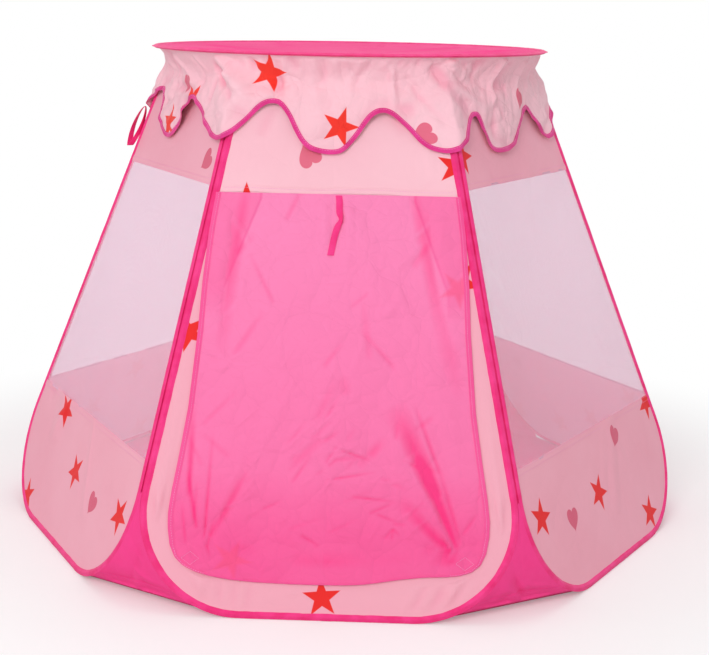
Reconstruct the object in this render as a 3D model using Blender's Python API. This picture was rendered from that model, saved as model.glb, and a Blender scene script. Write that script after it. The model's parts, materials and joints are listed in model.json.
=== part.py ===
"""Hexagonal pop-up play tent, standing open.

Six leaning panels stand round a floor. Each panel is a closed loop of spring steel wire in a
sewn binding sleeve, joined end to end by a crimped ferrule, and filled with cloth. The five
window panels have a sill cloth, a net and a top cloth; the front panel has a doorway with a
hanging flap. A flat hoop carries the roof disc and a scalloped crown. Neighbouring panels are
sewn edge to edge, so every seam is a fabric hinge and the tent folds flat, three panels on three.

Units are metres and +Z is up. The origin is on the ground at the middle of the floor, and the
doorway faces -Y. A panel's own frame has x across it, y up its slope and z out of it.
"""
import math

import bmesh
import bpy
from mathutils import Matrix, Vector

# Size of the whole tent
PANEL_COUNT = 6
FLAT_TO_FLAT = 1.20            # across the floor, from one hem to the opposite hem
TENT_HEIGHT = 0.90             # ground to the top of the roof hoop
CROWN_RISE = 0.06              # top of the panel loops to the top of the roof hoop
TOP_SEAM_RADIUS = 0.354        # tent's axis to a seam at the top of the loops
HOOP_REACH = 0.011             # middle of the roof hoop's sleeve outside those seams

# Frame loops
WIRE_RADIUS = 0.00125
FERRULE_BORE_RADIUS = 0.0018
FERRULE_RADIUS = 0.0023
FERRULE_LENGTH = 0.030
BORE_RADIUS = 0.00265          # of a binding sleeve
SLEEVE_WIDTH = 0.014
SLEEVE_THICKNESS = 0.006
SLEEVE_TAPER = 0.004           # width of the thin sewn edge on each side of the wire
JOINT_GAP = 0.0006             # between a loop's two ends
BASE_CORNER_RADIUS = 0.170     # of the seam line, before the sleeve's inset
TOP_CORNER_RADIUS = 0.035

# Clearances
FIT = 0.0003                   # between pieces that are sewn or seated together
SEAM_GAP = 0.0003              # from a seam's hinge line to the sleeve beside it
OPEN_SEAM_GAP = 0.0015         # the same at the seam that closes the ring of panels

# Cloth
CLOTH = 0.0006
FLOOR_CLOTH = 0.0008
FLOOR_REACH = 0.0008           # of the ground sheet's edge under a hem
RIBBON = 0.0008
SILL_HEIGHT = 0.248            # up the slope, to the foot of a window net
WINDOW_TOP = 0.715             # up the slope, to the head of a window net
NET_BORDER = 0.016
NET_BAR = 0.006
NET_ROWS = 6
NET_COLUMNS = 5

# Doorway and flap, in the front panel's frame
DOOR_SILL = 0.120
DOOR_HEAD = 0.695
DOOR_HEAD_HALF_WIDTH = 0.130
DOOR_SHOULDER_HEIGHT = 0.540
DOOR_SHOULDER_HALF_WIDTH = 0.188
DOOR_SILL_HALF_WIDTH = 0.215
DOOR_CORNER_RADIUS = 0.070
FLAP_TOP = 0.705
FLAP_FOOT = 0.056
FLAP_TOP_HALF_WIDTH = 0.192
FLAP_FOOT_HALF_WIDTH = 0.258
FLAP_CORNER_RADIUS = 0.045
FLAP_FOLD_DEPTH = 0.016
FLAP_FOLDS = 3
FLAP_BILLOW_SHARE = 0.35       # of the fold depth, as one broad swell
FLAP_FOLDED_SHARE = 0.9        # of the half width, where the folds run out
FLAP_FLAT_HEM = 0.019          # along the foot
FLAP_SWELL_POWER = 1.6
FLAP_HEM = 0.012
PATCH_SIDE = 0.028
PATCH_THICKNESS = 0.0003
PATCH_ACROSS = 0.226
PATCH_UP = 0.088
TIE_WIDTH = 0.012
TIE_LENGTH = 0.118
TIE_DRIFT = 0.012
INNER_TIE_LENGTH = 0.100
INNER_TIE_SHARES = (0, 0.12, 0.5, 1)

# Crown: the band and scalloped valance under the hoop
CROWN_SEAT = 0.0015            # crown's top inside the middle of the hoop's sleeve
SCALLOPS = 12
SCALLOP_TURN = math.radians(6.5)
SCALLOP_HIGH = 0.085           # below the top of the hoop
SCALLOP_LOW = 0.155
CROWN_CLEARANCE = 0.0004       # outside the panel sleeves
CROWN_FOLD_DEPTH = 0.007
CROWN_FOLDS = 15
CROWN_FOLD_DRIFT = 0.8         # radians by which the folds' spacing strays
VALANCE_TAPE = 0.010
ROOF_SAG = 0.012

# Ribbon loop on the left seam
LOOP_LENGTH = 0.075
LOOP_WIDTH = 0.020
LOOP_BAND = 0.012
LOOP_DROP = 0.120              # below the top of the tent
LOOP_STANDOFF = 0.0047         # from the seam line to the loop's inner side

# Faceting
BASE_ARC_STEPS = 8
TOP_ARC_STEPS = 3
HOOP_STEPS = 48
CROWN_STEPS_PER_SCALLOP = 7
CROWN_ROWS = 4

# Worked out from the sizes above
PANEL_TOP_HEIGHT = TENT_HEIGHT - CROWN_RISE
HOOP_RADIUS = TOP_SEAM_RADIUS + HOOP_REACH
CROWN_TOP_RADIUS = HOOP_RADIUS - CROWN_SEAT
LOOP_TOP_HEIGHT = TENT_HEIGHT - LOOP_DROP
PANEL_TURN = 2 * math.pi / PANEL_COUNT
BASE_APOTHEM = FLAT_TO_FLAT / 2
BASE_RADIUS = BASE_APOTHEM / math.cos(PANEL_TURN / 2)
SEAM_SLOPE = (BASE_RADIUS - TOP_SEAM_RADIUS) / PANEL_TOP_HEIGHT
LEAN = math.atan(SEAM_SLOPE * math.cos(PANEL_TURN / 2))
SLOPE_LENGTH = PANEL_TOP_HEIGHT / math.cos(LEAN)
BASE_HALF_WIDTH = BASE_RADIUS * math.sin(PANEL_TURN / 2)
TOP_HALF_WIDTH = TOP_SEAM_RADIUS * math.sin(PANEL_TURN / 2)
TAPER = math.atan((BASE_HALF_WIDTH - TOP_HALF_WIDTH) / SLOPE_LENGTH)
HEM_DROP = SLEEVE_THICKNESS / 2 * math.tan(LEAN)
CLOTH_MIDDLE = SLEEVE_THICKNESS / 2
SURROUND_FACE = CLOTH_MIDDLE + CLOTH / 2
FLAP_FACE = SURROUND_FACE + FIT + 2 * PATCH_THICKNESS
HOOP_MIDDLE_HEIGHT = TENT_HEIGHT - SLEEVE_THICKNESS / 2
CROWN_TOP_HEIGHT = TENT_HEIGHT - SLEEVE_THICKNESS - FIT

# Azimuth of each panel's middle, counted in panel turns from the front, and what it hinges on
PANELS = {
    "front": (0, None),
    "front_left": (-1, "front"),
    "front_right": (1, "front"),
    "back_left": (-2, "front_left"),
    "back_right": (2, "front_right"),
    "back": (3, "back_left"),
}

MATERIALS = {
    "spring_steel": ((0.55, 0.56, 0.58), 0.35, 1.0),
    "hot_pink_binding": ((0.90, 0.045, 0.24), 0.55, 0.0),
    "pink_print_cloth": ((0.95, 0.56, 0.64), 0.60, 0.0),
    "hot_pink_cloth": ((0.95, 0.07, 0.30), 0.50, 0.0),
    "pale_net": ((0.85, 0.68, 0.80), 0.70, 0.0),
    "hook_and_loop": ((0.93, 0.30, 0.52), 0.90, 0.0),
}

bodies = {}


def clear_scene():
    """Remove every object, so the script can be run again."""
    for item in list(bpy.data.objects):
        bpy.data.objects.remove(item, do_unlink=True)


def material(name):
    """Return the named material, made on first use."""
    found = bpy.data.materials.get(name)
    if found:
        return found
    colour, roughness, metallic = MATERIALS[name]
    made = bpy.data.materials.new(name)
    made.use_nodes = True
    shader = made.node_tree.nodes["Principled BSDF"]
    shader.inputs["Base Color"].default_value = (*colour, 1.0)
    shader.inputs["Roughness"].default_value = roughness
    shader.inputs["Metallic"].default_value = metallic
    return made


def add_body(name, world, parent=None):
    """Add the empty that a rigid body's pieces hang on, at its joint."""
    empty = bpy.data.objects.new(name + "_pivot", None)
    empty.empty_display_size = SLEEVE_WIDTH
    bpy.context.scene.collection.objects.link(empty)
    base = Matrix.Identity(4)
    if parent:
        empty.parent = bodies[parent][0]
        base = bodies[parent][1]
    empty.matrix_basis = base.inverted() @ world
    bodies[name] = (empty, world)


def add_piece(name, mesh_maker, body, frame, slot):
    """Make one solid from a bmesh drawn in a frame, and hang it on its body."""
    mesh = bpy.data.meshes.new(name)
    bmesh.ops.remove_doubles(mesh_maker, verts=mesh_maker.verts, dist=FIT / 100)
    bmesh.ops.recalc_face_normals(mesh_maker, faces=mesh_maker.faces)
    mesh_maker.to_mesh(mesh)
    mesh_maker.free()
    mesh.materials.append(material(slot))
    item = bpy.data.objects.new(name, mesh)
    bpy.context.scene.collection.objects.link(item)
    empty, world = bodies[body]
    item.parent = empty
    item.matrix_basis = world.inverted() @ frame
    mesh.shade_smooth()
    mesh.set_sharp_from_angle(angle=math.radians(35))
    return item


def panel_frame(step):
    """Frame of the panel whose middle is that many panel turns round from the front."""
    azimuth = step * PANEL_TURN
    outward = Vector((math.sin(azimuth), -math.cos(azimuth), 0))
    across = Vector((math.cos(azimuth), math.sin(azimuth), 0))
    up = Vector((0, 0, 1)) * math.cos(LEAN) - outward * math.sin(LEAN)
    normal = across.cross(up)
    frame = Matrix((across, up, normal)).transposed().to_4x4()
    frame.translation = outward * BASE_APOTHEM
    return frame


def seam_side(name):
    """-1 or 1: the side of a panel on which its own hinge seam lies."""
    step, parent = PANELS[name]
    if parent is None:
        return 0
    return 1 if PANELS[parent][0] > step or (name == "back") else -1


# Meshes

def tube(outer, inner=None):
    """Skin a row of section rings; with inner rings the tube is hollow and open at both ends."""
    mesh = bmesh.new()

    def skin(rings):
        rows = [[mesh.verts.new(point) for point in ring] for ring in rings]
        for low, high in zip(rows, rows[1:]):
            for index in range(len(low)):
                after = (index + 1) % len(low)
                mesh.faces.new((low[index], low[after], high[after], high[index]))
        return rows

    rows = skin(outer)
    if inner is None:
        mesh.faces.new(reversed(rows[0]))
        mesh.faces.new(rows[-1])
        return mesh
    bores = skin(inner)
    for ring, bore in ((rows[0], bores[0]), (rows[-1], bores[-1])):
        for index in range(len(ring)):
            after = (index + 1) % len(ring)
            mesh.faces.new((ring[index], ring[after], bore[after], bore[index]))
    return mesh


def slab(outline, holes, low, high):
    """Fill an outline with holes in the x-y plane and raise it from low to high."""
    mesh = bmesh.new()
    edges = []
    for loop in [outline] + holes:
        verts = [mesh.verts.new((x, y, low)) for x, y in loop]
        edges += [mesh.edges.new((a, b)) for a, b in zip(verts, verts[1:] + verts[:1])]
    if holes:
        bmesh.ops.triangle_fill(mesh, edges=edges, use_beauty=True, normal=(0, 0, 1))
    else:
        mesh.faces.new(mesh.verts[:])
    raised = bmesh.ops.extrude_face_region(mesh, geom=mesh.faces[:])["geom"]
    bmesh.ops.translate(
        mesh, verts=[v for v in raised if isinstance(v, bmesh.types.BMVert)], vec=(0, 0, high - low))
    return mesh


def grid_normal(rows, row, column, closed):
    """Unit normal of a grid of points at one of them."""
    columns = len(rows[0])
    if closed:
        before, after = (column - 1) % columns, (column + 1) % columns
    else:
        before, after = max(column - 1, 0), min(column + 1, columns - 1)
    along = rows[row][after] - rows[row][before]
    down = rows[min(row + 1, len(rows) - 1)][column] - rows[max(row - 1, 0)][column]
    return along.cross(down).normalized()


def sheet(rows, thickness, closed=False):
    """Skin a grid of points on both sides, the second one a thickness along the normals."""
    mesh = bmesh.new()
    columns = len(rows[0])
    last = columns if closed else columns - 1
    near = [[mesh.verts.new(point) for point in row] for row in rows]
    far = [[mesh.verts.new(rows[i][j] + grid_normal(rows, i, j, closed) * thickness)
            for j in range(columns)] for i in range(len(rows))]
    for grid in (near, far):
        for low, high in zip(grid, grid[1:]):
            for j in range(last):
                k = (j + 1) % columns
                mesh.faces.new((low[j], low[k], high[k], high[j]))
    for i in (0, -1):
        for j in range(last):
            k = (j + 1) % columns
            mesh.faces.new((near[i][j], near[i][k], far[i][k], far[i][j]))
    if not closed:
        for j in (0, -1):
            for i in range(len(rows) - 1):
                mesh.faces.new((near[i][j], near[i + 1][j], far[i + 1][j], far[i][j]))
    return mesh


def hexagon(radius):
    """Corners of a six-sided section, as offsets across and out."""
    return [(radius * math.cos(i * math.pi / 3), radius * math.sin(i * math.pi / 3))
            for i in range(6)]


def sleeve_section():
    """Corners of the binding sleeve: thick over the wire, thin at its sewn edges."""
    half, flat, rise = SLEEVE_WIDTH / 2, SLEEVE_WIDTH / 2 - SLEEVE_TAPER, SLEEVE_THICKNESS / 2
    return [(half, 0), (flat, rise), (-flat, rise), (-half, 0), (-flat, -rise), (flat, -rise)]


# Panel outlines

def arc(centre, radius, start, turn, steps):
    """Points along an arc, both ends included."""
    return [(centre[0] + radius * math.cos(start + turn * i / steps),
             centre[1] + radius * math.sin(start + turn * i / steps)) for i in range(steps + 1)]


def right_half(inset, side_gap):
    """Right half of a loop, from the foot up: the foot's arc, then the arc at the head.

    The inset is measured from the sleeve's outer edge, which stands side_gap inside the seam.
    """
    foot, head = inset - HEM_DROP, SLOPE_LENGTH - inset
    points = []
    for level, radius, start, turn, steps in (
            (foot, BASE_CORNER_RADIUS, -math.pi / 2, math.pi / 2 + TAPER, BASE_ARC_STEPS),
            (head, TOP_CORNER_RADIUS, TAPER, math.pi / 2 - TAPER, TOP_ARC_STEPS)):
        bend = max(radius - inset, FIT)
        up = level + bend if start < 0 else level - bend
        edge = BASE_HALF_WIDTH - up * math.tan(TAPER) - (inset + side_gap + bend) / math.cos(TAPER)
        points += arc((edge, up), bend, start, turn, steps)
    return points


def loop_outline(inset, gaps=(SEAM_GAP, SEAM_GAP)):
    """Whole rounded outline of a panel, anticlockwise from the middle of its foot."""
    left = [(-x, y) for x, y in reversed(right_half(inset, gaps[0]))]
    return right_half(inset, gaps[1]) + left


def cut_between(outline, low, high):
    """Part of a convex outline between two heights."""
    for level, keep in ((low, 1), (high, -1)):
        kept = []
        for (ax, ay), (bx, by) in zip(outline, outline[1:] + outline[:1]):
            a_in, b_in = (ay - level) * keep >= 0, (by - level) * keep >= 0
            if a_in:
                kept.append((ax, ay))
            if a_in != b_in:
                share = (level - ay) / (by - ay)
                kept.append((ax + (bx - ax) * share, level))
        outline = kept
    return outline


def loop_rings(section, inset, gaps):
    """Section rings round a panel loop, from one side of its foot joint to the other."""
    lanes = []
    for across, out in section:
        path = loop_outline(inset - across, gaps)
        foot = path[0][1]
        path = [(JOINT_GAP / 2, foot)] + path + [(-JOINT_GAP / 2, foot)]
        lanes.append([Vector((x, y, CLOTH_MIDDLE + out)) for x, y in path])
    return [list(ring) for ring in zip(*lanes)]


def straight_rings(section, length, centre):
    """Section rings of a straight piece along x."""
    return [[centre + Vector((x, -across, out)) for across, out in section]
            for x in (-length / 2, length / 2)]


# Frame pieces

def add_loop(name, gaps):
    """A panel's wire, its ferrule and its binding sleeve."""
    frame = panel_frame(PANELS[name][0])
    middle = SLEEVE_WIDTH / 2
    add_piece(name + "_frame_wire", tube(loop_rings(hexagon(WIRE_RADIUS), middle, gaps)),
              name, frame, "spring_steel")
    add_piece(name + "_binding_sleeve",
              tube(loop_rings(sleeve_section(), middle, gaps),
                   loop_rings(hexagon(BORE_RADIUS), middle, gaps)),
              name, frame, "hot_pink_binding")
    centre = Vector((0, middle - HEM_DROP, CLOTH_MIDDLE))
    add_piece(name + "_wire_ferrule",
              tube(straight_rings(hexagon(FERRULE_RADIUS), FERRULE_LENGTH, centre),
                   straight_rings(hexagon(FERRULE_BORE_RADIUS), FERRULE_LENGTH, centre)),
              name, frame, "spring_steel")


def add_window_panel(name, gaps):
    """A panel's sill cloth, window net and top cloth."""
    frame = panel_frame(PANELS[name][0])
    inside = loop_outline(SLEEVE_WIDTH + FIT, gaps)
    low, high = CLOTH_MIDDLE - CLOTH / 2, CLOTH_MIDDLE + CLOTH / 2
    foot, head = -HEM_DROP, SLOPE_LENGTH
    for part, bottom, top in (("_sill_cloth", foot, SILL_HEIGHT), ("_top_cloth", WINDOW_TOP, head)):
        add_piece(name + part, slab(cut_between(inside, bottom, top), [], low, high),
                  name, frame, "pink_print_cloth")
    window = cut_between(inside, SILL_HEIGHT + FIT, WINDOW_TOP - FIT)
    add_piece(name + "_window_net", slab(window, net_gaps(window), low, high),
              name, frame, "pale_net")


def net_gaps(window):
    """Rows and columns of gaps that follow the window's taper."""
    bottom, top = min(y for _, y in window), max(y for _, y in window)

    def ends(level):
        row = cut_between(window, level, level + FIT)
        return min(x for x, _ in row) + NET_BORDER, max(x for x, _ in row) - NET_BORDER

    def corner(column, shift, level):
        left, right = ends(level)
        return left + (right - left) * column / NET_COLUMNS + shift * NET_BAR / 2

    gaps = []
    rise = (top - bottom - 2 * NET_BORDER) / NET_ROWS
    for row in range(NET_ROWS):
        low = bottom + NET_BORDER + row * rise + NET_BAR / 2
        high = low + rise - NET_BAR
        for column in range(NET_COLUMNS):
            gaps.append([(corner(column, 1, low), low), (corner(column + 1, -1, low), low),
                         (corner(column + 1, -1, high), high), (corner(column, 1, high), high)])
    return gaps


# Front panel

def doorway():
    """Outline of the doorway: narrow at its head, with rounded corners at its sill."""
    turn = math.atan2(DOOR_SILL_HALF_WIDTH - DOOR_SHOULDER_HALF_WIDTH,
                      DOOR_SHOULDER_HEIGHT - DOOR_SILL)
    radius = DOOR_CORNER_RADIUS
    corner = arc((DOOR_SILL_HALF_WIDTH - radius, DOOR_SILL + radius), radius,
                 -math.pi / 2, math.pi / 2 + turn, BASE_ARC_STEPS // 2)
    right = corner + [(DOOR_SHOULDER_HALF_WIDTH, DOOR_SHOULDER_HEIGHT),
                      (DOOR_HEAD_HALF_WIDTH, DOOR_HEAD)]
    return right + [(-x, y) for x, y in reversed(right)]


def flap_half_width(up):
    """Half the flap's width at a height, round its bottom corners."""
    share = (FLAP_TOP - up) / (FLAP_TOP - FLAP_FOOT)
    width = FLAP_TOP_HALF_WIDTH + (FLAP_FOOT_HALF_WIDTH - FLAP_TOP_HALF_WIDTH) * share
    above = up - FLAP_FOOT
    if above < FLAP_CORNER_RADIUS:
        fall = FLAP_CORNER_RADIUS - above
        width -= FLAP_CORNER_RADIUS - math.sqrt(FLAP_CORNER_RADIUS ** 2 - fall ** 2)
    return width


def flap_swell(up):
    """Depth of the flap's folds at a height: none at its top seam and its hem."""
    drop = (FLAP_TOP - up) / (FLAP_TOP - FLAP_FOOT - FLAP_FLAT_HEM)
    return FLAP_FOLD_DEPTH * math.sin(math.pi * min(1.0, max(0.0, drop)) ** FLAP_SWELL_POWER)


def flap_out(share, up):
    """How far the flap's inner face stands out of the panel, at a share of its half width."""
    wave = 0.5 - 0.5 * math.cos(math.pi * FLAP_FOLDS * (share + 1))
    middle = max(0.0, 1 - (share / FLAP_FOLDED_SHARE) ** 2) ** 2
    return FLAP_FACE + flap_swell(up) * middle * (FLAP_BILLOW_SHARE + (1 - FLAP_BILLOW_SHARE) * wave)


FLAP_LEVEL_SHARES = (0, 0.03, 0.09, 0.19, 0.31, 0.43, 0.55, 0.67, 0.79, 0.91, 1)
FLAP_ACROSS_SHARES = (-1, -0.92, -0.76, -0.6, -0.44, -0.28, -0.12, 0.04, 0.2, 0.36, 0.52, 0.68,
                      0.84, 0.92, 1)


def flap_levels(top):
    """Heights of the flap's rows, closer together round its bottom corners."""
    return [FLAP_FOOT + FIT + (top - FLAP_FOOT - FIT) * share for share in FLAP_LEVEL_SHARES]


def flap_crest(levels, up):
    """Greatest stand-out of the flap's outer face at a height between two of its rows."""
    for low, high in zip(levels, levels[1:]):
        if low <= up <= high:
            share = (up - low) / (high - low)
            return FLAP_FACE + CLOTH + flap_swell(low) * (1 - share) + flap_swell(high) * share
    return FLAP_FACE + CLOTH


def add_front_panel():
    """Surround cloth with the doorway, and the pieces sewn on it."""
    frame = panel_frame(0)
    surround = loop_outline(SLEEVE_WIDTH + FIT)
    add_piece("front_door_surround",
              slab(surround, [doorway()], CLOTH_MIDDLE - CLOTH / 2, SURROUND_FACE),
              "front", frame, "pink_print_cloth")
    for side, name in ((-1, "left"), (1, "right")):
        add_piece("surround_loop_patch_" + name,
                  slab(diamond(side), [], SURROUND_FACE + FIT / 3,
                       SURROUND_FACE + FIT / 3 + PATCH_THICKNESS),
                  "front", frame, "hook_and_loop")
    inner = CLOTH_MIDDLE - CLOTH / 2 - FIT
    rows = [[Vector((x, DOOR_HEAD + TIE_WIDTH - INNER_TIE_LENGTH * share, inner))
             for x in (-TIE_WIDTH / 2, TIE_WIDTH / 2)] for share in INNER_TIE_SHARES]
    add_piece("door_tie_inner", sheet(rows, RIBBON), "front", frame, "hot_pink_binding")


def diamond(side):
    """Outline of a hook-and-loop patch, sewn on point down."""
    reach = PATCH_SIDE / math.sqrt(2)
    x, y = side * PATCH_ACROSS, PATCH_UP
    return [(x + reach, y), (x, y + reach), (x - reach, y), (x, y - reach)]


def add_door_flap():
    """The hanging flap with its hem tape, patches and outer tie."""
    frame = panel_frame(0)
    hinge = frame @ Matrix.Translation((0, FLAP_TOP, FLAP_FACE + CLOTH / 2))
    add_body("door_flap", hinge, "front")
    rows = [[Vector((flap_half_width(up) * share, up, flap_out(share, up)))
             for share in FLAP_ACROSS_SHARES] for up in flap_levels(FLAP_TOP - CLOTH)]
    add_piece("door_flap_cloth", sheet(rows, CLOTH), "door_flap", frame, "hot_pink_cloth")
    tape = FLAP_FACE + CLOTH + FIT
    levels = flap_levels(FLAP_TOP - CLOTH)
    edge = [(flap_half_width(up), up) for up in levels]
    edge = [(-x, y) for x, y in reversed(edge)] + edge
    inner = [(x - math.copysign(FLAP_HEM, x), max(y, FLAP_FOOT + FLAP_HEM)) for x, y in edge]
    add_piece("door_flap_tape", slab(edge + inner[::-1], [], tape, tape + CLOTH),
              "door_flap", frame, "hot_pink_binding")
    for side, name in ((-1, "left"), (1, "right")):
        add_piece("flap_hook_patch_" + name,
                  slab(diamond(side), [], FLAP_FACE - FIT / 3 - PATCH_THICKNESS,
                       FLAP_FACE - FIT / 3),
                  "door_flap", frame, "hook_and_loop")
    foot = FLAP_TOP - CLOTH - TIE_LENGTH
    rows = []
    for up in [foot] + [level for level in levels if level > foot]:
        shift = -TIE_DRIFT * (levels[-1] - up) / TIE_LENGTH
        rows.append([Vector((shift + x, up, flap_crest(levels, up) + FIT))
                     for x in (-TIE_WIDTH / 2, TIE_WIDTH / 2)])
    add_piece("door_tie_outer", sheet(rows, RIBBON), "door_flap", frame, "hot_pink_binding")


# Roof hoop and crown

def hoop_rings(section):
    """Section rings round the hoop, from one side of its joint at the back to the other."""
    turn = 2 * math.pi / HOOP_STEPS
    spots = [Vector((math.sin(a), math.cos(a), 0))
             for a in (turn * (i + 0.5) for i in range(HOOP_STEPS))]
    joint = Vector((0, math.cos(turn / 2), 0))
    shift = Vector((JOINT_GAP / 2, 0, 0))
    places = [(joint, shift)] + [(spot, Vector()) for spot in spots] + [(joint, -shift)]
    return [[radial * (HOOP_RADIUS + across) + move + Vector((0, 0, HOOP_MIDDLE_HEIGHT + out))
             for across, out in section] for radial, move in places]


def panel_apothem(height):
    """Distance from the tent's axis to a panel's inner plane."""
    return (BASE_RADIUS - SEAM_SLOPE * height) * math.cos(PANEL_TURN / 2)


def scallop_height(angle):
    """Height of the valance's edge: round lobes that hang between pointed notches."""
    phase = (angle - SCALLOP_TURN) / (2 * math.pi) * SCALLOPS
    lobe = 0.5 - 0.5 * math.cos(2 * math.pi * phase)
    drop = SCALLOP_HIGH + (SCALLOP_LOW - SCALLOP_HIGH) * lobe
    return TENT_HEIGHT - drop


def crown_radius(angle, height):
    """Radius of the crown: round at the hoop, and lying on the hexagon of panels below."""
    off = (angle + PANEL_TURN / 2) % PANEL_TURN - PANEL_TURN / 2
    skin = panel_apothem(height) + SLEEVE_THICKNESS / math.cos(LEAN) + CROWN_CLEARANCE
    hexagonal = skin / math.cos(off)
    share = (CROWN_TOP_HEIGHT - height) / (CROWN_TOP_HEIGHT - PANEL_TOP_HEIGHT)
    share = min(1.0, max(0.0, share))
    blend = share * share * (3 - 2 * share)
    fold = 0.5 - 0.5 * math.cos(CROWN_FOLDS * angle + CROWN_FOLD_DRIFT * math.sin(2 * angle))
    return CROWN_TOP_RADIUS * (1 - blend) + hexagonal * blend + CROWN_FOLD_DEPTH * fold * blend


def crown_point(angle, height, out=0.0):
    """Point on the crown; the angle runs from the front towards +X."""
    radius = crown_radius(angle, height) + out
    return Vector((radius * math.sin(angle), -radius * math.cos(angle), height))


def add_hoop():
    """The roof hoop with its wire, ferrule, sleeve, roof disc, crown and valance tape."""
    hinge = Matrix.Translation((0, -CROWN_TOP_RADIUS, CROWN_TOP_HEIGHT))
    add_body("roof_hoop", hinge, "front")
    world = Matrix.Identity(4)
    add_piece("hoop_wire", tube(hoop_rings(hexagon(WIRE_RADIUS))), "roof_hoop", world, "spring_steel")
    add_piece("hoop_binding_sleeve",
              tube(hoop_rings(sleeve_section()), hoop_rings(hexagon(BORE_RADIUS))),
              "roof_hoop", world, "hot_pink_binding")
    centre = Vector((0, HOOP_RADIUS * math.cos(math.pi / HOOP_STEPS), HOOP_MIDDLE_HEIGHT))
    add_piece("hoop_ferrule",
              tube(straight_rings(hexagon(FERRULE_RADIUS), FERRULE_LENGTH, centre),
                   straight_rings(hexagon(FERRULE_BORE_RADIUS), FERRULE_LENGTH, centre)),
              "roof_hoop", world, "spring_steel")
    add_roof_disc(world)
    angles = [2 * math.pi * i / (SCALLOPS * CROWN_STEPS_PER_SCALLOP)
              for i in range(SCALLOPS * CROWN_STEPS_PER_SCALLOP)]
    rows = []
    for row in range(CROWN_ROWS + 1):
        share = row / CROWN_ROWS
        rows.append([crown_point(a, scallop_height(a) * (1 - share) + CROWN_TOP_HEIGHT * share)
                     for a in angles])
    add_piece("crown_valance", sheet(rows, CLOTH, closed=True), "roof_hoop", world,
              "pink_print_cloth")
    rows = [[crown_point(a, scallop_height(a) + rise, CLOTH + FIT) for a in angles]
            for rise in (0, VALANCE_TAPE)]
    add_piece("valance_tape", sheet(rows, CLOTH, closed=True), "roof_hoop", world,
              "hot_pink_binding")


def add_roof_disc(world):
    """Roof cloth: a disc that sags a little inside the hoop."""
    edge = HOOP_RADIUS - SLEEVE_WIDTH / 2 - FIT
    shares = (1, 0.8, 0.55, 0.28, 0)
    profile = [(edge * share, HOOP_MIDDLE_HEIGHT - ROOF_SAG * (1 - share * share) + rise)
               for rise in (-CLOTH / 2, CLOTH / 2)
               for share in (shares if rise < 0 else reversed(shares))]
    mesh = bmesh.new()
    start = math.pi / HOOP_STEPS
    verts = [mesh.verts.new((radius * math.cos(start), radius * math.sin(start), level))
             for radius, level in profile]
    edges = [mesh.edges.new(pair) for pair in zip(verts, verts[1:] + verts[:1])
             if pair[0].co.x + pair[1].co.x > 0]
    bmesh.ops.spin(mesh, geom=edges, cent=(0, 0, 0), axis=(0, 0, 1), angle=2 * math.pi,
                   steps=HOOP_STEPS, use_merge=True, use_duplicate=False)
    add_piece("roof_disc", mesh, "roof_hoop", world, "hot_pink_cloth")


# Floor and corner gussets

def corner_arc(step, side, inset):
    """A panel's foot corner in world coordinates, from the ground up to the seam."""
    frame = panel_frame(step)
    points = right_half(inset, SEAM_GAP)[:BASE_ARC_STEPS + 1]
    return [frame @ Vector((side * x, y, CLOTH_MIDDLE)) for x, y in points]


def add_floor():
    """Ground sheet: long sides at the hems, short sides across the corners."""
    outline = []
    for step in range(PANEL_COUNT):
        frame = panel_frame(step)
        straight = right_half(0, SEAM_GAP)[1][0]
        for side in (-1, 1):
            corner = frame @ Vector((side * straight, 0, FLOOR_REACH))
            outline.append((corner.x, corner.y))
    add_piece("floor", slab(outline, [], 0, FLOOR_CLOTH), "front", Matrix.Identity(4),
              "hot_pink_cloth")


def add_gusset(name, body, step):
    """Cloth between two neighbouring foot corners; step is the panel on its left."""
    left = corner_arc(step, 1, -FIT)
    right = corner_arc(step + 1, -1, -FIT)
    foot = [point.copy() for point in (left[1], right[1])]
    for point in foot:
        point.z = FLOOR_CLOTH + FIT
    rows = [[a.lerp(b, share) for share in (0, 1 / 3, 2 / 3, 1)]
            for a, b in [foot] + list(zip(left, right))[1:-1]]
    add_piece(name, sheet(rows, CLOTH), body, Matrix.Identity(4), "hot_pink_cloth")


def add_ribbon_loop():
    """Hanging ribbon loop on the left seam, outside the panels."""
    radius = BASE_RADIUS - SEAM_SLOPE * LOOP_TOP_HEIGHT + LOOP_STANDOFF + LOOP_WIDTH / 2
    centre = Vector((-radius - SEAM_SLOPE * LOOP_LENGTH / 2, 0, LOOP_TOP_HEIGHT - LOOP_LENGTH / 2))
    rings = []
    steps = 2 * BASE_ARC_STEPS
    mesh = bmesh.new()
    for i in range(steps):
        angle = 2 * math.pi * i / steps
        ring = []
        for grow in (0, RIBBON):
            across = (LOOP_WIDTH / 2 + grow) * math.cos(angle)
            up = (LOOP_LENGTH / 2 + grow) * math.sin(angle)
            for y in (-LOOP_BAND / 2, LOOP_BAND / 2):
                spot = centre + Vector((across + up * SEAM_SLOPE, y, up))
                ring.append(mesh.verts.new(spot))
        rings.append(ring)
    for low, high in zip(rings, rings[1:] + rings[:1]):
        for a, b in ((0, 1), (1, 3), (3, 2), (2, 0)):
            mesh.faces.new((low[a], low[b], high[b], high[a]))
    add_piece("side_ribbon_loop", mesh, "front_left", Matrix.Identity(4), "hot_pink_binding")


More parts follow.
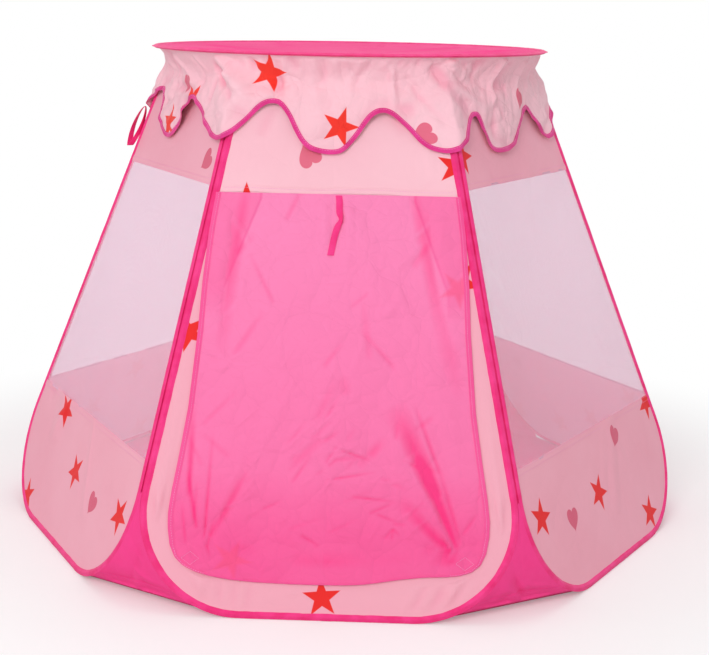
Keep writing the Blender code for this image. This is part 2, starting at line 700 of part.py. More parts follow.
def main():
    """Build the tent."""
    clear_scene()
    for name, (step, parent) in PANELS.items():
        side = seam_side(name)
        pivot = panel_frame(step) @ Matrix.Translation((side * BASE_HALF_WIDTH, 0, 0))
        add_body(name, pivot, parent)
    for name in PANELS:
        gaps = {"back": (OPEN_SEAM_GAP, SEAM_GAP), "back_right": (SEAM_GAP, OPEN_SEAM_GAP)}
        gaps = gaps.get(name, (SEAM_GAP, SEAM_GAP))
        add_loop(name, gaps)
        if name != "front":
            add_window_panel(name, gaps)
    add_front_panel()
    add_door_flap()
    add_hoop()
    add_floor()
    for name, body, step in (
            ("gusset_front_right", "front", 0), ("gusset_right", "front_right", 1),
            ("gusset_back_right", "back_right", 2), ("gusset_back_left", "back_left", 3),
            ("gusset_left", "front_left", -2), ("gusset_front_left", "front", -1)):
        add_gusset(name, body, step)
    add_ribbon_loop()


main()
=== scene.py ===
"""Looks of a hexagonal pop-up play tent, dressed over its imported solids.

Six leaning panels on spring loops stand round a ground sheet, under a round roof hoop with a
crumpled, scalloped crown. The classes below dress one sub-assembly each: the panels with their
binding, nets and printed cloth, the doorway with its flap, the crown with its hoop, and the
ground sheet with its corner gussets. Lengths are metres and +Z is up; the doorway faces -Y.
"""
from __future__ import annotations

import json
import logging
import math
from dataclasses import dataclass, field
from enum import Enum
from typing import Callable, Iterable, Sequence

import bpy
import numpy as np
from mathutils import Matrix, Vector

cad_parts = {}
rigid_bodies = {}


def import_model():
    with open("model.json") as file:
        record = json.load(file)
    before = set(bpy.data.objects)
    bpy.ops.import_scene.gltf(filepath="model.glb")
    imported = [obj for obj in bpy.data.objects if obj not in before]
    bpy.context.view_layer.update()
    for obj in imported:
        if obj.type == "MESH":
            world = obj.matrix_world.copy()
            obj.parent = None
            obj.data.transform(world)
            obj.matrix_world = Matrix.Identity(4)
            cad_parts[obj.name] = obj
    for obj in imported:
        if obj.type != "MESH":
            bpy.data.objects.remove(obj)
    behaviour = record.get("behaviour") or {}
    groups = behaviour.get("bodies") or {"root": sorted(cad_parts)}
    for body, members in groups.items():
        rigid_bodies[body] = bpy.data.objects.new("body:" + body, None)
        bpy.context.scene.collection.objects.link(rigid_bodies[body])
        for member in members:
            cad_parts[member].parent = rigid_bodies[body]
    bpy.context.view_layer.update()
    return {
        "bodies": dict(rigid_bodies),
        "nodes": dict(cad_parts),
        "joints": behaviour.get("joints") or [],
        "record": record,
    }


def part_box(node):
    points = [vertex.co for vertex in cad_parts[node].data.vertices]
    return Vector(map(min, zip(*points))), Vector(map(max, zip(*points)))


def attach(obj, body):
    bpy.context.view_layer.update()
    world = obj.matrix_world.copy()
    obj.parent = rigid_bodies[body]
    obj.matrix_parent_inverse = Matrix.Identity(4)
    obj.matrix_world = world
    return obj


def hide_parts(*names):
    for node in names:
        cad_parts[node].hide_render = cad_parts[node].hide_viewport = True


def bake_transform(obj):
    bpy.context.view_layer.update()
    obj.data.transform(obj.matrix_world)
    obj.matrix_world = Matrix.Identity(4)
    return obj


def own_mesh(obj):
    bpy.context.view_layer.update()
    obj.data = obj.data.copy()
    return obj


LOG = logging.getLogger("play_tent")
Array = np.ndarray
Socket, Node, Tree = bpy.types.NodeSocket, bpy.types.Node, bpy.types.NodeTree
Thing, Material = bpy.types.Object, bpy.types.Material
Colour = tuple[float, float, float, float]
SHADER = "ShaderNodeTree"
Relief = Callable[[Array, Array], Array]


class Slot(Enum):
    """Material slots of the record that a finish stands for."""

    STEEL = "spring_steel"
    BINDING = "hot_pink_binding"
    PRINT = "pink_print_cloth"
    PLAIN = "hot_pink_cloth"
    NET = "pale_net"
    HOOK = "hook_and_loop"


class Ink(Enum):
    """Shapes that are printed on the pale cloth."""

    STAR = "star"
    HEART = "heart"


class Edge(Enum):
    """Sides of a panel, as seen from outside."""

    LEFT = -1
    RIGHT = 1


# Sizes


@dataclass(frozen=True)
class TentSizes:
    """Driving sizes of the tent, the same as in its solids."""

    panel_count: int = 6
    flat_to_flat: float = 1.20
    height: float = 0.90
    crown_rise: float = 0.06
    top_seam_radius: float = 0.354
    hoop_reach: float = 0.011
    base_corner_radius: float = 0.170
    top_corner_radius: float = 0.035
    sleeve_width: float = 0.014
    sleeve_thickness: float = 0.006
    fit: float = 0.0003
    seam_gap: float = 0.0003
    open_seam_gap: float = 0.0015
    cloth: float = 0.0006
    floor_cloth: float = 0.0008
    front_foot: tuple[float, float] = (0.012, 0.50)
    rear_foot: tuple[float, float] = (0.033, 0.30)
    sill_height: float = 0.248
    window_top: float = 0.715

    @property
    def turn(self) -> float:
        """Angle from one panel's middle to the next."""
        return 2 * math.pi / self.panel_count

    @property
    def panel_top(self) -> float:
        """Height of the panel loops' tops."""
        return self.height - self.crown_rise

    @property
    def base_radius(self) -> float:
        """Distance from the tent's axis to a seam on the ground."""
        return self.flat_to_flat / 2 / math.cos(self.turn / 2)

    @property
    def seam_slope(self) -> float:
        """How much a seam comes in for each metre that it rises."""
        return (self.base_radius - self.top_seam_radius) / self.panel_top

    @property
    def lean(self) -> float:
        """Angle by which a panel leans in from upright."""
        return math.atan(self.seam_slope * math.cos(self.turn / 2))

    @property
    def slope_length(self) -> float:
        """Length of a panel up its own slope."""
        return self.panel_top / math.cos(self.lean)

    @property
    def base_half_width(self) -> float:
        """Half the distance between two neighbouring seams on the ground."""
        return self.base_radius * math.sin(self.turn / 2)

    @property
    def taper(self) -> float:
        """Angle between a panel's side and its middle line."""
        top = self.top_seam_radius * math.sin(self.turn / 2)
        return math.atan((self.base_half_width - top) / self.slope_length)

    @property
    def hem_drop(self) -> float:
        """How far the loops' feet reach below the panel's own foot line."""
        return self.sleeve_thickness / 2 * math.tan(self.lean)

    @property
    def cloth_middle(self) -> float:
        """Height of the cloth's middle over the panel's inner plane."""
        return self.sleeve_thickness / 2

    @property
    def hoop_radius(self) -> float:
        """Radius of the middle of the roof hoop's sleeve."""
        return self.top_seam_radius + self.hoop_reach

    @property
    def hoop_middle(self) -> float:
        """Height of the middle of the roof hoop's sleeve."""
        return self.height - self.sleeve_thickness / 2

    @property
    def crown_top(self) -> float:
        """Height of the crown's upper edge, under the hoop."""
        return self.height - self.sleeve_thickness - self.fit


SIZES = TentSizes()


# Node trees


class NodeDesk:
    """Adds nodes to one tree and links them by socket."""

    def __init__(self, tree: Tree) -> None:
        """Keep the tree that the nodes go into."""
        self.tree = tree

    def fill(self, node: Node, values: dict) -> None:
        """Set a node's inputs.

        Args:
            node: The node.
            values: Input name or number to a constant, or to a socket to link from.
        """
        for key, value in values.items():
            if isinstance(value, Socket):
                self.tree.links.new(value, node.inputs[key])
            else:
                node.inputs[key].default_value = value

    def put(self, kind: str, values: dict | None = None, **settings: object) -> Node:
        """Add one node.

        Args:
            kind: Blender's type name of the node.
            values: Its inputs; see fill.
            **settings: Properties of the node itself.

        Returns:
            The new node.
        """
        node = self.tree.nodes.new(kind)
        for key, value in settings.items():
            setattr(node, key, value)
        self.fill(node, values or {})
        return node

    def math(self, operation: str, *operands: object, clamp: bool = False) -> Socket:
        """Output of a math node with some constants or sockets as its operands."""
        return self.put("ShaderNodeMath", dict(enumerate(operands)), operation=operation,
                        use_clamp=clamp).outputs[0]

    def product(self, first: object, second: object, clamp: bool = False) -> Socket:
        """Two values multiplied."""
        return self.math("MULTIPLY", first, second, clamp=clamp)

    def vector(self, operation: str, *operands: object) -> Socket:
        """Output of a vector math node with some constants or sockets as its operands."""
        return self.put("ShaderNodeVectorMath", dict(enumerate(operands)), operation=operation).outputs[0]

    def scaled(self, vector: Socket, size: object) -> Socket:
        """A vector multiplied by a number."""
        return self.put("ShaderNodeVectorMath", {0: vector, "Scale": size}, operation="SCALE").outputs[0]

    def remap(self, value: object, *bounds: float, smooth: bool = False) -> Socket:
        """Map a value from one range to another.

        Args:
            value: The value.
            *bounds: From Min and From Max, then To Min and To Max if they aren't 0 and 1.
            smooth: Whether the ends are eased.

        Returns:
            The mapped value.
        """
        labels = ("From Min", "From Max", "To Min", "To Max")
        return self.put("ShaderNodeMapRange", {"Value": value, **dict(zip(labels, bounds))},
                        interpolation_type="SMOOTHSTEP" if smooth else "LINEAR").outputs[0]

    def noise(self, place: Socket, scale: float, detail: float, **values: float) -> Node:
        """Noise texture node at a vector."""
        return self.put("ShaderNodeTexNoise", {"Vector": place, "Scale": scale, "Detail": detail, **values})

    def blend(self, share: object, first: object, second: object) -> Socket:
        """Mix two colours, from all the first at a share of 0 to all the second at 1."""
        return self.put("ShaderNodeMix", {0: share, 6: first, 7: second}, data_type="RGBA").outputs[2]

    def use(self, group: Tree, **values: object) -> Node:
        """Place a shader group; its inputs are named with underscores for spaces."""
        node = self.put("ShaderNodeGroup")
        node.node_tree = group
        self.fill(node, {key.replace("_", " "): value for key, value in values.items()})
        return node


def open_group(name: str, kind: str, inputs: str, outputs: str) -> tuple[NodeDesk, Node, Node]:
    """Start a node group.

    Args:
        name: Name of the group.
        kind: Blender's type name of its tree.
        inputs: Input names, commas between; a default follows its name, and is a number, or the
            socket's kind where it isn't a number.
        outputs: Output names, commas between, with kinds in the same way.

    Returns:
        The desk, the group's input node and its output node.
    """
    tree = bpy.data.node_groups.new(name, kind)
    for side, labels in (("INPUT", inputs), ("OUTPUT", outputs)):
        for entry in labels.split(","):
            label, _, default = entry.strip().partition("=")
            named = default[:1].isupper()
            socket = tree.interface.new_socket(
                name=label, in_out=side, socket_type="NodeSocket" + (default if named else "Float"))
            if default and not named:
                socket.default_value = float(default)
    desk = NodeDesk(tree)
    return desk, desk.put("NodeGroupInput"), desk.put("NodeGroupOutput")


def colour(*shown: float) -> Colour:
    """Linear colour of display values of red, green and blue from 0 to 255."""
    shares = [value / 255 for value in shown]
    return (*(share / 12.92 if share <= 0.04045 else ((share + 0.055) / 1.055) ** 2.4
              for share in shares), 1.0)


class ShaderGroups:
    """Node groups that more than one finish uses, each built once."""

    def __init__(self) -> None:
        """Build the groups."""
        self.weave = self._weave()
        self.crumple = self._crumple()
        self.star = self._star()
        self.heart = self._heart()
        self.threads = self._threads()

    @staticmethod
    def _weave() -> Tree:
        """Plain weave: threads that pass over and under each other."""
        desk, source, sink = open_group("plain_weave", SHADER, "Vector=Vector, Pitch=0.0009", "Height")
        split = desk.put("ShaderNodeSeparateXYZ", {0: source.outputs["Vector"]})
        waves = [desk.math("SINE", desk.math("DIVIDE", desk.product(split.outputs[axis], 2 * math.pi),
                                             source.outputs["Pitch"])) for axis in (0, 1)]
        desk.fill(sink, {"Height": desk.math("MULTIPLY_ADD", desk.product(*waves), 0.5, 0.5)})
        return desk.tree

    @staticmethod
    def _crumple() -> Tree:
        """Small sharp creases of thin cloth that has been packed away."""
        desk, source, sink = open_group("crumpled_cloth", SHADER, "Vector=Vector, Scale=14, Stray=0.03",
                                        "Height, Shade")
        place = source.outputs["Vector"]
        noise = desk.noise(place, 9.0, 3.0, Roughness=0.6)
        shift = desk.vector("SUBTRACT", noise.outputs["Color"], (0.5, 0.5, 0.5))
        spot = desk.put("ShaderNodeVectorMath", {0: shift, 1: place, "Scale": source.outputs["Stray"]},
                        operation="SCALE")
        moved = desk.vector("ADD", place, spot.outputs[0])
        heights = []
        for ratio in (1.0, 2.6):
            size = desk.product(source.outputs["Scale"], ratio)
            cells = desk.put("ShaderNodeTexVoronoi", {"Vector": moved, "Scale": size},
                             feature="DISTANCE_TO_EDGE")
            heights.append(desk.math("POWER", desk.product(cells.outputs["Distance"], 2.4, clamp=True), 0.7))
        mixed = desk.math("MULTIPLY_ADD", heights[1], 0.35, heights[0])
        soft = desk.noise(place, 5.0, 4.0, Roughness=0.55).outputs["Fac"]
        desk.fill(sink, {"Height": desk.product(mixed, soft), "Shade": soft})
        return desk.tree

    @staticmethod
    def _mark_group(name: str) -> tuple[NodeDesk, Socket, Socket, Node]:
        """Start a group for one printed mark.

        Args:
            name: Name of the group.

        Returns:
            The desk, the coordinates from the mark's centre in its own reach, and the output node.
        """
        desk, source, sink = open_group(
            name, SHADER, "Vector=Vector, Centre=Vector, Reach=0.035, Turn=0", "Mask")
        moved = desk.vector("SUBTRACT", source.outputs["Vector"], source.outputs["Centre"])
        turned = desk.put("ShaderNodeVectorRotate", {"Vector": moved, "Angle": source.outputs["Turn"]},
                          rotation_type="Z_AXIS")
        size = desk.math("DIVIDE", 1.0, source.outputs["Reach"])
        split = desk.put("ShaderNodeSeparateXYZ", {0: desk.scaled(turned.outputs[0], size)})
        return desk, split.outputs[0], split.outputs[1], sink

    def _star(self) -> Tree:
        """Five-pointed star, by its distance to the nearest side."""
        desk, across, up, sink = self._mark_group("printed_star")
        angle = desk.math("ARCTAN2", up, across)
        folded = desk.math("PINGPONG", desk.math("ADD", angle, 2 * math.pi), math.pi / 5)
        reach = desk.math("SQRT", desk.math("ADD", *(desk.math("POWER", part, 2.0) for part in (across, up))))
        along = desk.product(reach, desk.math("COSINE", folded))
        aside = desk.product(reach, desk.math("SINE", folded))
        waist = 0.40
        run, rise = waist * math.cos(math.pi / 5) - 1, waist * math.sin(math.pi / 5)
        inside = desk.math("ADD", desk.product(desk.math("SUBTRACT", 1.0, along), rise),
                           desk.product(aside, run))
        desk.fill(sink, {"Mask": desk.math("MULTIPLY_ADD", inside, 40.0, 0.5, clamp=True)})
        return desk.tree

    def _heart(self) -> Tree:
        """Heart, by a bent circle."""
        desk, across, up, sink = self._mark_group("printed_heart")
        aside = desk.math("ABSOLUTE", across)
        bent = desk.math("SUBTRACT", desk.math("MULTIPLY_ADD", up, 1.15, 0.18),
                         desk.product(desk.math("SQRT", aside), 0.72))
        total = desk.math("ADD", desk.math("POWER", aside, 2.0), desk.math("POWER", bent, 2.0))
        mask = desk.math("MULTIPLY_ADD", desk.math("SUBTRACT", 0.80, total), 16.0, 0.5, clamp=True)
        desk.fill(sink, {"Mask": mask})
        return desk.tree

    @staticmethod
    def _threads() -> Tree:
        """Fine square net: 1 on its threads and 0 in its holes."""
        desk, source, sink = open_group("net_threads", SHADER,
                                        "Vector=Vector, Pitch=0.002, Cover=0.26", "Mask")
        split = desk.put("ShaderNodeSeparateXYZ", {0: source.outputs["Vector"]})
        half = desk.product(source.outputs["Pitch"], 0.5)
        masks = [desk.math("LESS_THAN", desk.math("DIVIDE", desk.math("PINGPONG", split.outputs[axis], half),
                                                  half), source.outputs["Cover"]) for axis in (0, 1)]
        desk.fill(sink, {"Mask": desk.math("MAXIMUM", *masks)})
        return desk.tree


# Finishes


@dataclass(frozen=True)
class Mark:
    """One printed mark: where it is on its cloth, and how it is turned."""

    ink: Ink
    across: float
    up: float
    reach: float = 0.035
    turn: float = 0.0


def uv_vector(desk: NodeDesk) -> Socket:
    """Coordinates in metres along a cloth, from its own UV map."""
    return desk.put("ShaderNodeUVMap", uv_map="UVMap").outputs["UV"]


def start_material(name: str) -> tuple[Material, NodeDesk, Node]:
    """Start a material; returns it, its desk and its Principled BSDF node."""
    made = bpy.data.materials.new(name)
    made.use_nodes = True
    return made, NodeDesk(made.node_tree), made.node_tree.nodes["Principled BSDF"]


def add_bumps(desk: NodeDesk, shader: Node, *layers: tuple[Socket, float, float]) -> None:
    """Chain bump nodes into a shader's normal.

    Args:
        desk: Desk of the material.
        shader: The Principled BSDF node.
        *layers: Height, distance in metres and strength of each layer, coarsest first.
    """
    normal = {}
    for height, distance, strength in layers:
        values = {"Height": height, "Distance": distance, "Strength": strength, **normal}
        normal = {"Normal": desk.put("ShaderNodeBump", values).outputs[0]}
    desk.fill(shader, normal)


@dataclass(frozen=True)
class ClothFinish:
    """Thin polyester taffeta, plain or printed, with painted shade in its creases."""

    base: Colour
    shade: Colour
    roughness: float = 0.55
    sheen: float = 0.08
    weave_pitch: float = 0.0011
    weave_depth: float = 0.00012
    crumple_depth: float = 0.0022
    crumple_strength: float = 0.42
    star_ink: Colour = colour(240, 44, 42)
    heart_ink: Colour = colour(232, 112, 138)
    # Painted shade: the deeper tone that creases are tinted towards, weighted by the mesh's fold attribute.
    crease_shade_tone: Colour = colour(246, 156, 182)
    crease_shade_share: float = 0.6
    gloss: float = 0.25
    reverse: Colour = colour(255, 240, 244)
    reverse_share: float = 0.0

    def build(self, name: str, groups: ShaderGroups, marks: Sequence[Mark] = (),
              glow: Callable[[NodeDesk, Socket, Socket],
                             Socket] | None = None) -> Material:
        """Make the material for one cloth.

        Args:
            name: Name of the material.
            groups: The shared node groups.
            marks: What is printed on this cloth.
            glow: Painted light or shade on the base colour, from the desk, the coordinates and the colour so
                far.

        Returns:
            The material.
        """
        made, desk, shader = start_material(name)
        place = uv_vector(desk)
        crumple = desk.use(groups.crumple, Vector=place).outputs
        weave = desk.use(groups.weave, Vector=place, Pitch=self.weave_pitch)
        tone = desk.blend(desk.remap(crumple["Shade"], 0.3, 0.7, 0.0, 0.55), self.base, self.shade)
        if glow is not None:
            tone = glow(desk, place, tone)
        # Painted shade: the tone deepens towards the crease tone where the mesh's fold attribute says a point
        # lies in a fold.
        depth = desk.put("ShaderNodeAttribute", attribute_name="fold").outputs["Fac"]
        tone = desk.blend(desk.product(depth, self.crease_shade_share), tone, self.crease_shade_tone)
        for mark in marks:
            group, paint = ((groups.star, self.star_ink) if mark.ink is Ink.STAR
                            else (groups.heart, self.heart_ink))
            printed = desk.use(group, Vector=place, Centre=(mark.across, mark.up, 0.0),
                               Reach=mark.reach, Turn=mark.turn)
            tone = desk.blend(printed.outputs["Mask"], tone, paint)
        inside = desk.put("ShaderNodeAttribute", attribute_name="inside").outputs["Fac"]
        tone = desk.blend(desk.product(inside, self.reverse_share), tone, self.reverse)
        rough = desk.math("MULTIPLY_ADD", crumple["Shade"], 0.16, self.roughness - 0.08)
        desk.fill(shader, {"Base Color": tone, "Roughness": rough, "Sheen Weight": self.sheen,
                           "Specular IOR Level": self.gloss})
        add_bumps(desk, shader, (crumple["Height"], self.crumple_depth, self.crumple_strength),
                  (weave.outputs["Height"], self.weave_depth, 0.5))
        return made


@dataclass(frozen=True)
class TapeFinish:
    """Folded polyester tape with fine ribs and small puckers along its stitching."""

    base: Colour
    shade: Colour
    roughness: float = 0.5
    rib_scale: float = 900.0
    rib_depth: float = 0.00015

    def build(self, name: str) -> Material:
        """Make the material."""
        made, desk, shader = start_material(name)
        place = desk.put("ShaderNodeTexCoord").outputs["Object"]
        stain = desk.noise(place, 38.0, 3.0)
        pucker = desk.noise(place, 140.0, 2.0, Roughness=0.5)
        ribs = desk.noise(place, self.rib_scale, 1.0)
        tone = desk.blend(desk.remap(stain.outputs["Fac"], 0.35, 0.7), self.base, self.shade)
        rough = desk.math("MULTIPLY_ADD", pucker.outputs["Fac"], 0.2, self.roughness - 0.1)
        desk.fill(shader, {"Base Color": tone, "Roughness": rough, "Specular IOR Level": 0.4})
        add_bumps(desk, shader, (pucker.outputs["Fac"], 0.0012, 0.5),
                  (ribs.outputs["Fac"], self.rib_depth, 0.6))
        return made


@dataclass(frozen=True)
class NetFinish:
    """Fine polyester net that veils what is behind it."""

    thread: Colour = colour(254, 232, 250)
    pitch: float = 0.0016
    cover: float = 0.19

    def build(self, name: str, groups: ShaderGroups) -> Material:
        """Make the material from the shared groups."""
        made, desk, shader = start_material(name)
        place = uv_vector(desk)
        mask = desk.use(groups.threads, Vector=place, Pitch=self.pitch, Cover=self.cover).outputs["Mask"]
        noise = desk.noise(place, 6.0, 2.0)
        desk.fill(shader, {
            "Base Color": desk.blend(noise.outputs["Fac"], self.thread, colour(250, 222, 242)),
            "Alpha": desk.math("MULTIPLY_ADD", mask, 0.55, 0.15), "Roughness": 0.7})
        add_bumps(desk, shader, (mask, 0.0002, 0.4))
        return made


def drawn_steel() -> Material:
    """Drawn spring wire with faint lines along it."""
    made, desk, shader = start_material("drawn_spring_steel")
    place = desk.put("ShaderNodeTexCoord").outputs["Object"]
    lines = desk.noise(place, 300.0, 3.0).outputs["Fac"]
    desk.fill(shader, {
        "Base Color": desk.blend(lines, colour(176, 180, 186), colour(120, 124, 130)),
        "Metallic": 1.0, "Roughness": desk.math("MULTIPLY_ADD", lines, 0.25, 0.2)})
    add_bumps(desk, shader, (lines, 0.0001, 0.4))
    return made


def hook_nap() -> Material:
    """Hook-and-loop tape: a rough nap on a woven ground."""
    made, desk, shader = start_material("hook_and_loop_nap")
    place = desk.put("ShaderNodeTexCoord").outputs["Object"]
    nap = desk.put("ShaderNodeTexVoronoi", {"Vector": place, "Scale": 900.0}).outputs["Distance"]
    desk.fill(shader, {"Base Color": desk.blend(nap, colour(246, 120, 170), colour(222, 84, 140)),
                       "Roughness": 0.9})
    add_bumps(desk, shader, (nap, 0.0006, 0.8))
    return made


class Finishes:
    """Every finish of the tent, built once and shared."""

    def __init__(self) -> None:
        """Build the shared groups and the plain finishes."""
        self.groups = ShaderGroups()
        self.print_cloth = ClothFinish(base=colour(254, 200, 212), shade=colour(250, 186, 201),
                                       reverse_share=0.7)
        # Painted shade: the crown's creases are tinted by their fold depth.
        self.crown_cloth = ClothFinish(base=colour(255, 206, 217), shade=colour(250, 186, 201),
                                       crumple_depth=0.0075, crumple_strength=0.9, crease_shade_share=0.42,
                                       star_ink=colour(250, 56, 44))
        # Painted light: the flap is the same hot pink cloth as deep_cloth, painted paler because daylight
        # comes through it; its crease tone is painted shade.
        self.backlit_flap_cloth = ClothFinish(base=colour(253, 102, 163), shade=colour(250, 84, 151),
                                       roughness=0.52, crumple_depth=0.0080, crumple_strength=0.75,
                                       crease_shade_tone=colour(255, 44, 128), crease_shade_share=0.8, gloss=0.14)
        # Painted shade: a deep tint in the gussets' creases; the floor and roof carry no fold depth.
        self.deep_cloth = ClothFinish(base=colour(252, 70, 148), shade=colour(244, 50, 130), roughness=0.6,
                                      sheen=0.0, crumple_depth=0.0040, crumple_strength=0.7,
                                      crease_shade_tone=colour(236, 26, 106), crease_shade_share=0.8)
        # Painted light: the flap's hem takes the flap's paler backlit pink rather than the cloth's own deeper
        # one.
        self.backlit_hem_cloth = ClothFinish(base=colour(252, 98, 162), shade=colour(240, 66, 140), roughness=0.5,
                                     crumple_depth=0.0025, crumple_strength=0.6)
        # Painted shade: the same printed cloth as print_cloth, darker on the other panels because less light
        # comes through them from behind.
        self.shaded_side_cloth = ClothFinish(base=colour(251, 178, 196), shade=colour(244, 160, 180),
                                      star_ink=colour(240, 14, 20), heart_ink=colour(224, 96, 126),
                                      reverse_share=0.75)
        self.steel, self.hook = drawn_steel(), hook_nap()
        self.binding = TapeFinish(colour(250, 62, 142), colour(240, 38, 120)).build("hot_pink_tape")
        self.edge_tape = TapeFinish(colour(234, 62, 148), colour(218, 44, 128)).build("valance_edge_tape")
        self.thread = TapeFinish(colour(240, 84, 160), colour(224, 60, 140),
                                 rib_scale=2500.0).build("hot_pink_thread")
        self.pale_thread = TapeFinish(colour(252, 178, 222), colour(244, 156, 208),
                                      rib_scale=2500.0).build("pale_lilac_thread")
        self.net = NetFinish().build("pale_lavender_net", self.groups)
        self.rear_net = NetFinish(pitch=0.0022).build("pale_lavender_rear_net", self.groups)
        self.floor = self.deep_cloth.build("hot_pink_floor_cloth", self.groups)

    def printed(self, name: str, marks: Sequence[Mark], cloth: ClothFinish | None = None
                ) -> Material:
        """Printed cloth with its own marks."""
        return (cloth or self.print_cloth).build(name, self.groups, marks)


# Meshes


def grid_normals(points: Array, closed: bool) -> Array:
    """Unit normals of a grid of points; closed says that its last column meets its first."""
    if closed:
        along = np.roll(points, -1, axis=1) - np.roll(points, 1, axis=1)
    else:
        along = np.gradient(points, axis=1)
    normals = np.cross(along, np.gradient(points, axis=0))
    return normals / np.maximum(np.linalg.norm(normals, axis=2, keepdims=True), 1e-12)


def ring_quads(ring: Array) -> Array:
    """Four corners of each face of a grid of indices."""
    return np.stack([ring[:-1, :-1], ring[:-1, 1:], ring[1:, 1:], ring[1:, :-1]], -1).reshape(-1, 4)


def rim_pairs(ring: Array, closed: bool) -> Array:
    """Neighbours along the rim of a grid of indices, in the order that closes a solid."""
    runs = [(ring[0, 1:], ring[0, :-1]), (ring[-1, :-1], ring[-1, 1:])]
    if not closed:
        runs += [(ring[:-1, 0], ring[1:, 0]), (ring[1:, -1], ring[:-1, -1])]
    return np.concatenate([np.stack(run, -1) for run in runs])


def solid_sheet(name: str, points: Array, places: Array, thickness: float, material: Material,
                closed: bool = False, fold_shade: Array | None = None) -> Thing:
    """Make a thin closed solid round a grid of points, mapped in metres.

    Args:
        name: Name of the piece.
        points: Middle surface, rows by columns by three; columns by rows faces out.
        places: Map coordinates, one more column than points where the grid is closed.
        thickness: Thickness of the cloth.
        material: Its finish.
        closed: Whether the last column meets the first.
        fold_shade: How deep in a fold each point lies, from 0 to 1; the finish paints shade there by it.

    Returns:
        The new object.
    """
    rows, columns = points.shape[:2]
    count = rows * columns
    shift = grid_normals(points, closed) * thickness / 2
    corners = np.concatenate([(points + shift).reshape(-1, 3), (points - shift).reshape(-1, 3)])
    ring = np.arange(count).reshape(rows, columns)
    spots = np.arange(rows * (columns + closed)).reshape(rows, -1)
    if closed:
        ring = np.concatenate([ring, ring[:, :1]], axis=1)
    faces, mapped = [], []
    for grid, other, target in ((ring, ring + count, faces), (spots, spots, mapped)):
        front, rim = ring_quads(grid), rim_pairs(grid, closed)
        back = ring_quads(other)[:, ::-1]
        target += [front, back, np.concatenate([rim, rim_pairs(other, closed)[:, ::-1]], axis=1)]
    mapped = np.concatenate(mapped).ravel()
    made = mesh_object(name, corners, np.concatenate(faces).tolist(), material,
                       places.reshape(-1, 2)[mapped])
    shares = {"inside": np.repeat([0.0, 1.0], count)}
    # Painted shade: the fold attribute weights the finish's deeper crease tone.
    if fold_shade is not None:
        shares["fold"] = np.tile(np.clip(fold_shade, 0, 1).ravel(), 2)
    for label, values in shares.items():
        layer = made.data.attributes.new(label, "FLOAT", "POINT")
        layer.data.foreach_set("value", values.astype(np.float32))
    return made


def mesh_object(name: str, corners: Array, faces: list, material: Material,
                places: Array | None = None) -> Thing:
    """Make a smooth-shaded object in the scene.

    Args:
        name: Name of the piece.
        corners: Points, three numbers each.
        faces: Point indices of each face.
        material: Its finish.
        places: Map coordinates of each face's corners in order.

    Returns:
        The new object.
    """
    mesh = bpy.data.meshes.new(name)
    mesh.from_pydata(np.asarray(corners).tolist(), [], faces)
    if places is not None:
        layer = mesh.uv_layers.new(name="UVMap")
        layer.data.foreach_set("uv", np.asarray(places, np.float32).ravel())
    mesh.materials.append(material)
    mesh.shade_smooth()
    mesh.set_sharp_from_angle(angle=math.radians(60))
    return link_object(name, mesh)


def link_object(name: str, data: object) -> Thing:
    """Put a new object with some data into the scene."""
    made = bpy.data.objects.new(name, data)
    bpy.context.scene.collection.objects.link(made)
    return made


def spread_rows(low: float, high: float, count: int, tight_low: bool, tight_high: bool) -> Array:
    """Heights that crowd together towards either end.

    Args:
        low: First height.
        high: Last height.
        count: How many.
        tight_low: Whether they crowd at the low end.
        tight_high: Whether they crowd at the high end.

    Returns:
        The heights.
    """
    share = np.linspace(0, 1, count)
    if tight_low and tight_high:
        share = 0.5 - 0.5 * np.cos(math.pi * share)
    elif tight_low:
        share = share ** 1.7
    elif tight_high:
        share = 1 - (1 - share) ** 1.7
    return low + (high - low) * share


# Creases


@dataclass(frozen=True)
class Crease:
    """A ridge in cloth that runs from a point and dies out."""

    across: float
    up: float
    turn: float
    length: float
    width: float
    height: float
    flare: float = 0.0

    def rise(self, across: Array, up: Array) -> Array:
        """How far the ridge lifts the cloth at each point.

        Args:
            across: Coordinates across the cloth.
            up: Coordinates up the cloth.

        Returns:
            The lift at each point.
        """
        run = (across - self.across) * math.cos(self.turn) + (up - self.up) * math.sin(self.turn)
        off = -(across - self.across) * math.sin(self.turn) + (up - self.up) * math.cos(self.turn)
        share = np.clip(run / self.length, 0, 1)
        width = self.width * (1 + self.flare * share)
        fade = np.sin(math.pi * share ** 0.6) ** 0.8
        ridge = np.clip(1.15 - np.sqrt((off / width) ** 2 + 0.0225), 0, 1)
        return self.height * ridge * fade


